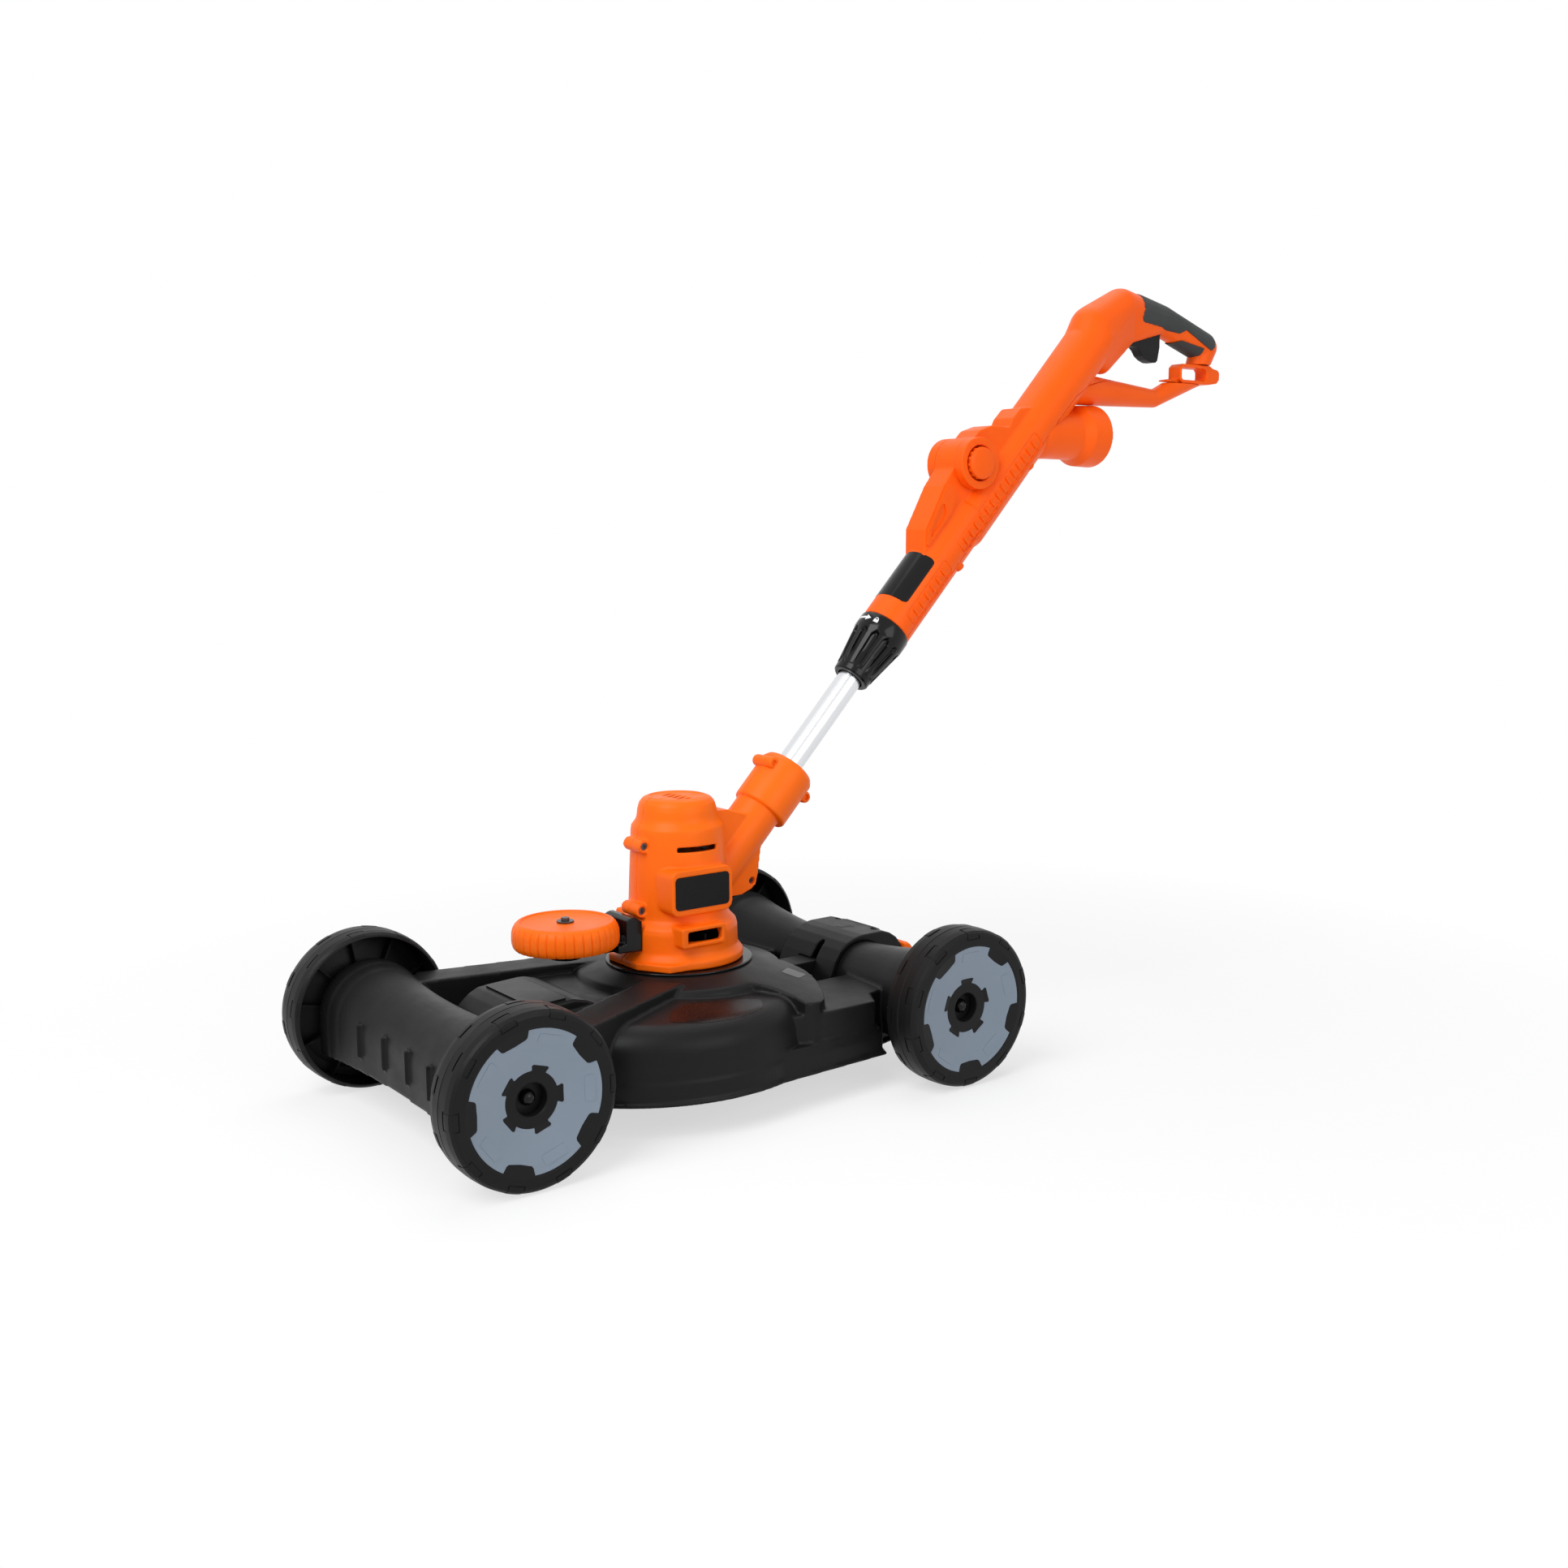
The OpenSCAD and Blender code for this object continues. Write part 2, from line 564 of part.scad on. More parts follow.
module release_pedal() color("#f26a21") difference() {
  union() {
    difference() {
      across(-pedal_half, pedal_half) polygon([[pedal_y - 6, pedal_z + 2], [pedal_y - 4, pedal_z + 12],
        [pedal_y + 4, tread_z - 1], [pedal_y + 14, tread_z + 5], [pedal_reach - 12, tread_z + 5], [pedal_reach - 12, tread_z],
        [pedal_y + 18, tread_z - 0.5], [pedal_y + 10, pedal_z + 15], [pedal_y + 6, pedal_z + 8], [pedal_y + 5.5, pedal_z]]);
      translate([-10.5, pedal_y - 20, pedal_z + 7]) cube([21, 33, 17.5]);
    }
    translate([0, pedal_y, pedal_z]) along_x(-pedal_half, pedal_half, 6.5);
    across(-tread_half, tread_half) polygon([[cover_y1 + 0.6, tread_z - 1], [cover_y1 + 0.6, tread_z + 5],
      [pedal_reach - 5, tread_z + 4], [pedal_reach, tread_z - 2], [pedal_reach, tread_z - 7],
      [pedal_reach - 3, tread_z - 7], [pedal_reach - 5, tread_z - 2]]);
    translate([-4.5, loop_y + 6.5, pedal_z - 2]) cube([9, 6, 18.5]);
    for (i = [0:1]) translate([-tread_half + 2, cover_y1 + 2 + i * 3.4, tread_z + 3])
      cube([2 * tread_half - 4, 1.6, 2.8]);
  }
  translate([0, pedal_y, pedal_z]) along_x(-60, 60, pedal_pin_r + run_gap);
  translate([10.4, pedal_y - 9, pedal_z - 9]) cube([10.2, 16, 18]);
}

module pedal_pin() color("#b9bcc0") translate([0, pedal_y, pedal_z])
  along_x(-pedal_half - 6.9, pedal_half + 6.9, pedal_pin_r);

module pedal_spring() color("#9aa0a6") translate([10.6, pedal_y, pedal_z]) for (i = [0:4]) translate([i * 2, 0, 0])
  rotate([0, 90, 0]) ring(5.2, pedal_pin_r + 0.4, 1.5);

module latch_bar() color("#3a3b3d") translate([-8, hook_y, latch_z]) cube([16, loop_y - hook_y, latch_t]);

// Nose that stands behind the spigot, and loop that the pedal pulls
module latch_ends() color("#3a3b3d") {
  across(-8, 8) polygon([[hook_y, latch_z + latch_t + 0.02], [hook_y + 9, latch_z + latch_t + 0.02], [hook_y + 4, spigot_z + 5],
    [hook_y + 3, spigot_z + 7.5], [hook_y + 1, spigot_z + 7.5], [hook_y, spigot_z + 5]]);
  difference() {
    translate([-8, loop_y + 0.02, latch_z]) cube([16, 18, latch_t]);
    translate([-5.2, loop_y + 5, latch_z - 1]) cube([10.4, 8.1, latch_t + 2]);
  }
}

// Motor head

module head_profile() polygon([[0, spigot_z], [spigot_r - 1, spigot_z], [spigot_r, spigot_z + 1],
  [spigot_r, flange_z], [flange_r - 1, flange_z], [flange_r, flange_z + 1.5], [flange_r, flange_z + 7],
  [foot_r + 2, flange_z + 10.5], [foot_r, flange_z + 14], [foot_r - 0.5, 150], [foot_r - 2, 155],
  [can_r + 3, 159], [can_r + 0.6, 162], [can_r, 166], [can_top_r + 0.2, 243], [can_top_r - 0.4, 247],
  [cap_top_r + 1.2, 252.5], [cap_top_r, 256], [cap_top_r - 0.8, head_top - 12], [cap_top_r - 2.6, head_top - 6],
  [cap_top_r - 6, head_top - 2], [cap_top_r - 11, head_top], [cap_top_r - 12, head_top],
  [cap_top_r - 12.6, head_top - 1.6], [0, head_top - 1.6]]);

module head_cavity() rotate_extrude() polygon([[0, seat_z + 8], [24, seat_z + 8], [foot_r - 8, flange_z + 4],
  [foot_r - head_wall - 1, flange_z + 12], [foot_r - head_wall - 1, 150], [can_r - head_wall - 0.5, 158],
  [can_top_r - head_wall - 0.5, 240], [cap_top_r - head_wall - 0.5, 253],
  [cap_top_r - head_wall - 1.5, head_top - 12], [cap_top_r - 12, head_top - 5], [0, head_top - 5]]);

module flange_corners() translate([0, 0, flange_z]) linear_extrude(7)
  polygon([[-54, -46], [-24, -64], [24, -64], [54, -46], [60, 8], [30, 54], [-30, 54], [-60, 8]]);

module head_bosses(r, x) {
  translate([0, -can_top_r - 1.5, 232]) along_x(-x, x, r);
  translate([0, -can_r - 1.5, 171]) along_x(-x, x, r);
  translate([0, 76, 184]) along_x(-x, x, r);
}

module head_outer() {
  rotate_extrude($fn = 96) head_profile();
  flange_corners();
  head_bosses(6.5, 14);
  across(-17, 17) polygon([[20, 172], [20, 258], [47, 258], [82, 247], [92, 250], [83, 190], [80, 180], [75, 176], [64, 172]]);
  on_pole() translate([0, 0, -138]) cylinder(r = neck_r, h = 138 - neck_ring_l + 6);
  on_pole() translate([0, 2, -neck_ring_l - 3]) rotate_extrude() polygon([[0, 0], [neck_ring_r - 1, 0],
    [neck_ring_r, 2], [neck_ring_r, neck_ring_l - 6], [neck_ring_r - 3, neck_ring_l - 1],
    [neck_ring_r - 5, neck_ring_l], [0, neck_ring_l]]);
  translate([0, -6, 191]) across(20, 51) round_rect(68, 43, 8);
  translate([0, 5, 191]) across(-50, -20) round_rect(56, 43, 8);
  for (s = [-1, 1]) translate([0, -10, 150]) across(s > 0 ? 20 : -59, s > 0 ? 59 : -20) round_rect(49, 19, 3);
}

module head_cuts() {
  head_cavity();
  translate([0, 0, spigot_z - 1]) cylinder(r = shaft_r + 1, h = 30);
  translate([0, 0, spigot_z - 1]) ring(spigot_r - 3.5, 40, 8.4);
  translate([0, 0, seat_z]) cylinder(r = 13 + fit_gap, h = 20);
  on_pole() translate([0, 0, -neck_ring_l - 12]) cylinder(r = 19 + fit_gap, h = 160);
  on_pole() translate([0, 0, -118]) cylinder(r = 11, h = 80);
  for (s = [-1, 1]) {
    translate([0, -4, 229.5]) across(s > 0 ? 30 : -60, s > 0 ? 60 : -30) square([41, 5], center = true);
    translate([0, -9, 150]) across(s > 0 ? 30 : -70, s > 0 ? 70 : -30) square([38, 11], center = true);
  }
  translate([0, -6, 191]) across(50, 60) round_rect(60.4, 31.4, 4.2);
  translate([0, 5, 191]) across(-60, -49) round_rect(46.4, 31.4, 4.2);
  for (i = [-2:2]) translate([i * 8, 0, head_top - 12]) rotate([0, 0, 30]) translate([-1.5, -9, 0])
    cube([3, 18, 20]);
  head_bosses(1.8 + fit_gap, 10);
  bracket_holes(1.9 + fit_gap);
  intersection() {
    head_bosses(3.6, 20);
    translate([10, -100, 100]) cube([20, 300, 200]);
  }
  translate([0, 0, top_seat_z]) cylinder(r = 9 + fit_gap, h = 9);
}

// Cross wall that carries the upper bearing
module bearing_wall() difference() {
  translate([0, 0, top_seat_z - 3]) cylinder(r = cap_top_r - head_wall - 0.3, h = 8);
  translate([0, 0, top_seat_z]) cylinder(r = 9 + fit_gap, h = 20);
  cylinder(r = shaft_r + 1, h = 400);
  for (a = [45:90:315]) rotate(a) translate([20, 0, 200]) cylinder(r = 7, h = 90);
}

module head_shell() {
  difference() {
    head_outer();
    head_cuts();
  }
  bearing_wall();
}

module head_right() color("#f26a21") keep_right() head_shell();

module head_left() color("#f26a21") keep_left() head_shell();

module head_screws() color("#4a4b4d") for (p = [[-can_top_r - 1.5, 232], [-can_r - 1.5, 171], [76, 184]])
  translate([10, p[0], p[1]]) rotate([0, 90, 0]) screw(1.8, 18, 3.4, 2.6);

module badge_plates() color("#19191a") {
  translate([0, -6, 191]) across(50, 51.4) round_rect(60, 31, 4);
  translate([0, 5, 191]) across(-50.4, -49) round_rect(46, 31, 4);
}

module neck_bush() color("#2a2a2b") on_pole() translate([0, 0, -neck_ring_l - 11]) {
  ring(19, tube_r + run_gap, neck_ring_l + 6);
}

module stator() color("#5d6166") difference() {
  translate([0, 0, stator_z]) union() {
    cylinder(r = stator_r, h = stack_l);
    for (a = [0, 90, 180, 270]) rotate(a + 45) translate([stator_r - 3, -4, 4]) cube([can_top_r - stator_r - 0.8, 8, 12]);
  }
  translate([0, 0, stator_z - 1]) cylinder(r = armature_r + 0.6, h = stack_l + 2);
  for (a = [45, 225]) rotate(a) translate([armature_r - 4, -9, stator_z - 1]) cube([10, 18, stack_l + 2]);
}

module brush_gear() color("#7a5a34") for (s = [-1, 1]) translate([s > 0 ? 12.6 : -can_top_r + 5, -4, comm_z])
  cube([can_top_r - 17.6, 8, 8]);

module bearings() color("#b9bcc0") {
  translate([0, 0, seat_z]) ring(13, shaft_r + run_gap, 8);
  translate([0, 0, top_seat_z]) ring(9, shaft_r + run_gap, 7);
}

module armature() color("#8a6a45") {
  translate([0, 0, spool_low + 6]) cylinder(r = shaft_r, h = top_seat_z + 6 - spool_low - 6);
  translate([0, 0, stator_z + 1]) cylinder(r = armature_r, h = stack_l - 2);
  translate([0, 0, comm_z - 2]) cylinder(r = 12, h = 12);
}

module fan() color("#2f3032") translate([0, 0, fan_z]) difference() {
  union() {
    cylinder(r = 12, h = 14);
    cylinder(r = fan_r, h = 2);
    for (i = [0:8]) rotate(i * 40) translate([10, -1, 1]) cube([fan_r - 11, 2, 11]);
  }
  translate([0, 0, -1]) cylinder(r = shaft_r + fit_gap, h = 30);
}

// Cutting head

module spool_housing() color("#1b1b1c") difference() {
  translate([0, 0, spool_low]) rotate_extrude() polygon([[0, 4], [spool_r - 3, 4], [spool_r, 8],
    [spool_r, spool_top - spool_low - 8], [spool_r - 8, spool_top - spool_low - 1], [14, spool_top - spool_low], [0, spool_top - spool_low]]);
  translate([0, 0, spool_low - 1]) cylinder(r = spool_r - 3, h = spool_top - spool_low - 11);
  cylinder(r = shaft_r + fit_gap, h = 200);
  for (s = [-1, 1]) translate([0, 0, line_z]) rotate(line_turn) along_x(s > 0 ? 20 : -60, s > 0 ? 60 : -20, line_r + 0.8);
  for (i = [0:7]) rotate(i * 45 + 22.5) translate([spool_r - 1.5, -5, spool_low]) cube([5, 10, 22]);
}

module spool() color("#c8501a") translate([0, 0, spool_low + 5]) rotate_extrude() polygon([
  [shaft_r + fit_gap, 0], [spool_r - 6, 0], [spool_r - 6, 2], [14, 2], [14, 16], [spool_r - 6, 16],
  [spool_r - 6, 18], [shaft_r + fit_gap, 18]]);

module wound_line() color("#e8e4da") translate([0, 0, spool_low + 7.3]) rotate_extrude() polygon([[14.2, 0],
  [26, 0], [27, 1], [26, 2], [27, 3], [26, 4], [27, 5], [26, 6], [27, 7], [26, 8], [27, 9], [26, 10], [27, 11],
  [26, 12.2], [14.2, 12.2]]);

module line_ends() color("#e8e4da") for (s = [-1, 1]) translate([0, 0, line_z]) rotate(line_turn)
  along_x(s > 0 ? 27.5 : -swath_r, s > 0 ? swath_r : -27.5, line_r);

module spool_cap() color("#f26a21") translate([0, 0, spool_low]) rotate_extrude() polygon([[0, -6], [12, -6],
  [18, -3], [spool_r - 3.4, -1], [spool_r - 3.4, 3.8], [spool_r - 5.4, 3.8], [spool_r - 5.4, 1], [16, 1], [12, 3], [0, 3]]);

// Edge guide wheel

module bracket_holes(r) for (s = [-1, 1]) translate([s * 14, -80, guide_low + 2]) rotate([-90, 0, 0])
  cylinder(r = r, h = 31);

module guide_bracket() color("#1b1b1c") difference() {
  union() {
    across(-20, 20) polygon([[-foot_r + 12, bracket_z - 2], [-foot_r + 12, guide_top - 14], [-61, guide_top - 3],
      [-66, guide_top - 3],
      [-71, guide_top - 5], [-71, guide_low - 2], [-80, guide_low - 4], [-80, bracket_z]]);
    translate([0, -guide_y, bracket_z]) cylinder(r = 15, h = 7);
    translate([-11, -guide_y, bracket_z]) cube([22, guide_y - 74, 7]);
    translate([0, -guide_y, bracket_z]) cylinder(r = 5, h = guide_top - bracket_z - 2);
  }
  translate([0, -guide_y, bracket_z - 1]) cylinder(r = 2 + fit_gap, h = 60);
  translate([0, 0, 100]) cylinder(r = foot_r + fit_gap, h = 100);
  bracket_holes(1.9 + fit_gap);
  for (s = [-1, 1]) translate([s * 14, -69.5, guide_low + 2]) rotate([90, 0, 0]) cylinder(r = 3.8, h = 10);
}

module guide_wheel() color("#f26a21") translate([0, -guide_y, guide_low]) difference() {
  rotate_extrude($fn = 96) polygon([[5 + run_gap, 0.8], [12, 0.8], [14, 8], [guide_r - 8, 8], [guide_r - 7, 0],
    [guide_r - 3, 0], [guide_r - 0.5, 4], [guide_r, 8], [guide_r, guide_w - 9], [guide_r - 1, guide_w - 5],
    [guide_r - 4, guide_w - 1], [guide_r - 7, guide_w], [guide_r - 9, guide_w - 1.2], [5 + run_gap, guide_w - 1.2]]);
  for (i = [0:guide_notches - 1]) rotate(i * 360 / guide_notches) translate([guide_r - 1.3, -0.8, -1])
    cube([4, 1.6, guide_w - 5]);
}

module guide_screw() color("#1c1c1d") translate([0, -guide_y, guide_top - 2]) {
  translate([0, 0, 0.9]) screw(2, 24, 8, 1.1);
  translate([0, 0, 2.2]) cylinder(r = 3.8, h = 2.6);
}

module bracket_screws() color("#4a4b4d") for (s = [-1, 1]) translate([s * 14, -69.5, guide_low + 2]) rotate([90, 0, 0])
  screw(1.9, 18, 3.4, 1.4);

// Pole

module pole_tube() color("#c9ccd0") on_pole() difference() {
  translate([0, 0, -tube_in]) ring(tube_r, tube_r - tube_wall, tube_in + tube_out);
  for (a = [60, 120, 240, 300]) rotate(a) translate([tube_r - 0.45, -0.6, -tube_in - 1])
    cube([2, 1.2, tube_in + tube_out + 2]);
}

module tube_sleeve() color("#2a2a2b") on_pole() rotate_extrude() polygon([[tube_r + run_gap, lock_w + 8],
  [17, lock_w + 8], [18.4, lock_w + 14], [18.4, handle_w + 2], [barrel_r - shell_wall - 0.3, handle_w + 2],
  [barrel_r - shell_wall - 0.3, handle_w + 10], [18.4, handle_w + 10], [18.4, handle_w + 60],
  [barrel_r - shell_wall - 0.3, handle_w + 60], [barrel_r - shell_wall - 0.3, handle_w + 68], [tube_r + run_gap, handle_w + 68]]);

module lock_collar() color("#161617") on_pole() translate([0, 0, lock_w]) difference() {
  rotate_extrude() polygon([[18.4 + clear_gap, 7], [lock_r + 0.6, 7], [lock_r + 1, 12],
    [lock_top_r - 1.6, lock_l - 20], [lock_top_r - 0.6, lock_l - 17], [lock_top_r, lock_l - 14], [lock_top_r, lock_l - 1],
    [lock_top_r - 1, lock_l], [18.4 + clear_gap, lock_l]]);
  for (i = [0:lock_flutes - 1]) rotate(i * 360 / lock_flutes) translate([lock_r + 4.4, 0, -1]) rotate([0, 7.5, 0])
    cylinder(r = 3.2, h = lock_l - 17, $fn = 24);
}

// Wiper ring pressed on the collar's lower end, which closes the gap round the tube
module lock_seal() color("#1b1b1c") on_pole() translate([0, 0, lock_w]) rotate_extrude() polygon([[tube_r + 1.5, 0],
  [lock_r - 1.5, 0], [lock_r, 1.5], [lock_r + 0.55, 6.95], [tube_r + 1.5, 6.95]]);

// Handle: drawn in the frame of the pole

module bead(y, z, r, n) translate([0, y, z]) sphere(r = r, $fn = n);

module handle_form(t, n) {
  translate([0, 0, handle_w + (t > 0 ? -1 : 0)]) cylinder(r = barrel_r - t,
    h = hub_w - handle_w - 36.5, $fn = n + 12);
  hull() {
    bead(3, hub_w - 46, barrel_r + 0.5 - t, n);
    bead(2, 612, barrel_r + 0.5 - t, n);
  }
  hull() {
    bead(2, 600, barrel_r + 0.4 - t, n);
    bead(-5, 620, 26 - t, n);
    bead(9, 668, 22 - t, n);
    bead(36, 655, 13 - t, n);
    bead(30, 604, 13 - t, n);
  }
  hull() {
    bead(9, 668, 22 - t, n);
    bead(36, 655, 13 - t, n);
    bead(64, 709, grip_r - t, n);
  }
  hull() {
    bead(64, 709, grip_r - t, n);
    bead(140, 746, grip_r - 0.5 - t, n);
  }
  hull() {
    bead(140, 746, grip_r - 0.6 - t, n);
    bead(152, 712, 13 - t, n);
  }
  hull() {
    bead(152, 712, 12.8 - t, n);
    bead(120, 641, 10.2 - t, n);
  }
  hull() {
    bead(120, 641, 10.2 - t, n);
    bead(70, 595, 12.2 - t, n);
    bead(20, 552, 18 - t, n);
  }
}

module fin(t) rotate([90, 0, 90]) translate([0, 0, -fin_half + t]) linear_extrude(2 * fin_half - 2 * t) polygon([
  [0, hub_w - 114 + t], [hub_v + 16 + t, hub_w - 114 + t], [hub_v - 1 + t, hub_w - 96 + t], [hub_v - 14 + t, hub_w - 46],
  [hub_v - 18 + t, hub_w], [hub_v - 17 + t, hub_w + 32], [hub_v - 8 + t, hub_w + 48 - t], [hub_v + 11 + t, hub_w + 65 - t],
  [hub_v + 8 + t, hub_w + 76], [hub_v + 9 + t, hub_w + 92 - t], [hub_v + 20, hub_w + 104 - t], [0, hub_w + 104 - t]]);

module post_spots() for (w = [284, 430], s = [-1, 1]) translate([s * post_x, 0, w]) rotate([-90, 0, 0]) children();

module shroud_hole() translate([0, shroud_y, shroud_z]) rotate([90, 0, 0]) rotate_extrude($fn = 48) polygon([[0, -30],
  [shroud_r + 1, -30], [shroud_r + 1, 26], [26.8, 36.4], [26.3, 84], [0, 84]]);

module handle_shell() difference() {
  on_pole() difference() {
    union() {
      difference() {
        union() {
          handle_form(0, 28);
          fin(0);
          translate([0, hub_v, hub_w]) along_x(-fin_half, fin_half, hub_r);
        }
        handle_form(shell_wall, 20);
        fin(shell_wall);
        translate([0, hub_v, hub_w]) along_x(-fin_half + shell_wall, fin_half - shell_wall, hub_r - shell_wall);
      }
      intersection() {
        post_spots() translate([0, 0, -50]) cylinder(r = 4, h = 100, $fn = 24);
        handle_form(1, 20);
      }
    }
    post_spots() translate([0, 0, post_head - 24]) cylinder(r = 1.9, h = 40, $fn = 24);
    post_spots() translate([0, 0, post_head - 0.1]) cylinder(r = 3.7, h = 20, $fn = 24);
  }
  shroud_hole();
  translate([-30, 676, retainer_z - 11.2]) cube([60, 130, 22.4]);
  translate([-trigger_half - 0.7, trigger_y - 12, 700]) cube([2 * trigger_half + 1.4, 62, 56]);
  translate([0, trigger_y, trigger_z]) along_x(-15, 15, 2 + 0.06);
}

// Side view of everything that belongs to the lower handle moulding
module lower_half() on_pole() across(-60, 60) polygon([[12, 100], [12, 530], [24, 560], [40, 584], [60, 606],
  [100, 664], [136, 712], [190, 720], [260, 600], [260, 100]]);

module handle_upper() color("#f26a21") difference() {
  handle_shell();
  lower_half();
}

module handle_lower() color("#f26a21") intersection() {
  handle_shell();
  lower_half();
}

module handle_screws() color("#4a4b4d") on_pole() post_spots() translate([0, 0, post_head])
  screw(1.8, 23, 3.5, 2);

module grip_form(g, n) {
  hull() {
    bead(28, 682, 20 + g, n);
    bead(64, 709, grip_r + g, n);
  }
  hull() {
    bead(64, 709, grip_r + g, n);
    bead(136, 744, grip_r - 0.3 + g, n);
  }
}

module grip_pad() color("#2c2d2f") on_pole() intersection() {
  difference() {
    grip_form(1.3, 24);
    handle_form(-0.05, 28);
  }
  across(-40, 40) polygon([[0, 690], [25, 664], [88, 712], [92, 722], [140, 740], [150, 790], [20, 760]]);
}

module grip_insert() color("#2c2d2f") on_pole() intersection() {
  difference() {
    grip_form(1.3, 24);
    handle_form(-0.05, 28);
  }
  across(-40, 40) polygon([[92, 700], [98, 712], [130, 733], [140, 720], [128, 700]]);
}

module hub_rings() color("#f26a21") on_pole() translate([0, hub_v, hub_w]) for (s = [-1, 1]) difference() {
  along_x(s > 0 ? fin_half + 0.05 : -hub_half, s > 0 ? hub_half : -fin_half - 0.05, hub_r);
  along_x(s > 0 ? fin_half : -hub_half - 1, s > 0 ? hub_half + 1 : -fin_half, ring_r);
  translate([0, 3 - hub_v, -60]) cylinder(r = barrel_r + 0.8, h = 120);
}

module hub_button() color("#f26a21") on_pole() translate([fin_half + 5, hub_v, hub_w]) rotate([0, 90, 0]) difference() {
  linear_extrude(hub_half - fin_half) {
    circle(r = button_r);
    for (i = [0:15]) rotate(i * 22.5) translate([button_r - 1.5, -1.2]) square([2.9, 2.4]);
  }
  translate([0, 0, -1]) cylinder(r = button_r - 3, h = hub_half - fin_half - 3);
}

module hub_spring() color("#9aa0a6") on_pole() translate([fin_half + 0.1, hub_v, hub_w]) rotate([0, 90, 0])
  for (i = [0:5]) translate([0, 0, i * 2.2]) ring(8, 6.4, 1.5);

module trigger() color("#1f2022") difference() {
  across(-trigger_half, trigger_half) polygon([[trigger_y - 5, trigger_z + 4], [trigger_y - 8, trigger_z - 2],
    [trigger_y - 9, trigger_z - 14], [trigger_y - 6, trigger_z - 18.5], [trigger_y, trigger_z - 20.5],
    [trigger_y + 9, trigger_z - 21], [trigger_y + 13, trigger_z - 24], [trigger_y + 18, trigger_z - 30],
    [trigger_y + 25, trigger_z - 34], [trigger_y + 33, trigger_z - 36.5], [trigger_y + 41, trigger_z - 36.5],
    [trigger_y + 44, trigger_z - 34], [trigger_y + 47, trigger_z - 20], [trigger_y + 47, trigger_z - 3],
    [trigger_y + 5, trigger_z + 4]]);
  translate([0, trigger_y, trigger_z]) along_x(-20, 20, 2 + run_gap);
}

module trigger_pin() color("#b9bcc0") translate([0, trigger_y, trigger_z]) along_x(-14.5, 14.5, 2);

module switch_box() color("#3a3b3d") translate([-9.5, 672, 750]) cube([19, 27, 11]);

// Plug inlet and cord retainer

module plug_shroud() color("#f26a21") translate([0, shroud_y, shroud_z]) rotate([90, 0, 0]) rotate_extrude() polygon([
  [shroud_r - 2.5, 0], [shroud_r, 0], [shroud_r + 0.6, 2], [shroud_r - 0.4, 26], [26.4, 36], [26, 83], [23, 83],
  [23, 36], [shroud_r - 3.5, 25]]);

module plug_inlet() color("#222324") translate([0, shroud_y, shroud_z]) rotate([90, 0, 0]) {
  translate([0, 0, 46]) cylinder(r = 23 - fit_gap, h = 26);
  translate([0, 0, 34]) cylinder(r = 15, h = 13);
  for (s = [-1, 1]) translate([s * 6.35 - 0.75, -3.2, 18]) cube([1.5, 6.4, 30]);
}

module cord_retainer() color("#f26a21") translate([0, 0, retainer_z]) difference() {
  union() {
    across(-9, 9) polygon([[703, -7], [703, 7], [708, 11], [756, 11], [762, 8], [retainer_y - 3, 6.5],
      [retainer_y, 3.5], [retainer_y, -5], [retainer_y - 4, -9], [756, -11], [708, -11]]);
    across(-4, 4) polygon([[706, -11], [706, -6], [690, -7], [680, -8.5], [680, -10]]);
  }
  across(-20, 20) polygon([[706.5, -5], [709, -7], [748, -7], [751, -4], [751, 4], [748, 7], [709, 7], [706.5, 5]]);
}

place() deck_shell();
place() dock_ring();
place() pedal_cover();
place() cover_screws();
place() deck_plate();
place() axle(front_track, -front_axle_y);  // front_axle
place() axle(rear_track, rear_axle_y);  // rear_axle
place() axle_caps();
place() latch_bar();
place() latch_ends();
place() release_pedal();
place() pedal_pin();
place() pedal_spring();
place() wheel_spot(1, front_track, -front_axle_y, 17) wheel();  // wheel_fr
place() wheel_spot(-1, front_track, -front_axle_y, 10) wheel();  // wheel_fl
place() wheel_spot(1, rear_track, rear_axle_y, 0.4) wheel();  // wheel_rr
place() wheel_spot(-1, rear_track, rear_axle_y, 28) wheel();  // wheel_rl
place() wheel_spot(1, front_track, -front_axle_y, 17) wheel_disc();  // disc_fr
place() wheel_spot(-1, front_track, -front_axle_y, 10) wheel_disc();  // disc_fl
place() wheel_spot(1, rear_track, rear_axle_y, 0.4) wheel_disc();  // disc_rr
place() wheel_spot(-1, rear_track, rear_axle_y, 28) wheel_disc();  // disc_rl
place() head_right();
place() head_left();
place() head_screws();
place() badge_plates();
place() neck_bush();
place() stator();
place() brush_gear();
place() bearings();
place() armature();
place() fan();
place() spool_housing();
place() spool();
place() wound_line();
place() line_ends();
place() spool_cap();
place() guide_bracket();
place() guide_wheel();
place() guide_screw();
place() bracket_screws();
place() pole_tube();
place() tube_sleeve();
place() lock_collar();
place() lock_seal();
place() handle_upper();
place() handle_lower();
place() handle_screws();
place() grip_pad();
place() grip_insert();
place() hub_rings();
place() hub_button();
place() hub_spring();
place() trigger();
place() trigger_pin();
place() switch_box();
place() plug_shroud();
place() plug_inlet();
place() cord_retainer();
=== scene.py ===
"""Looks of a wheeled string trimmer: moulded orange and black plastic, a drawn pole and soft grip pads."""
import json
import math
import bmesh
import bpy
from mathutils import Matrix, Vector
from mathutils.bvhtree import BVHTree


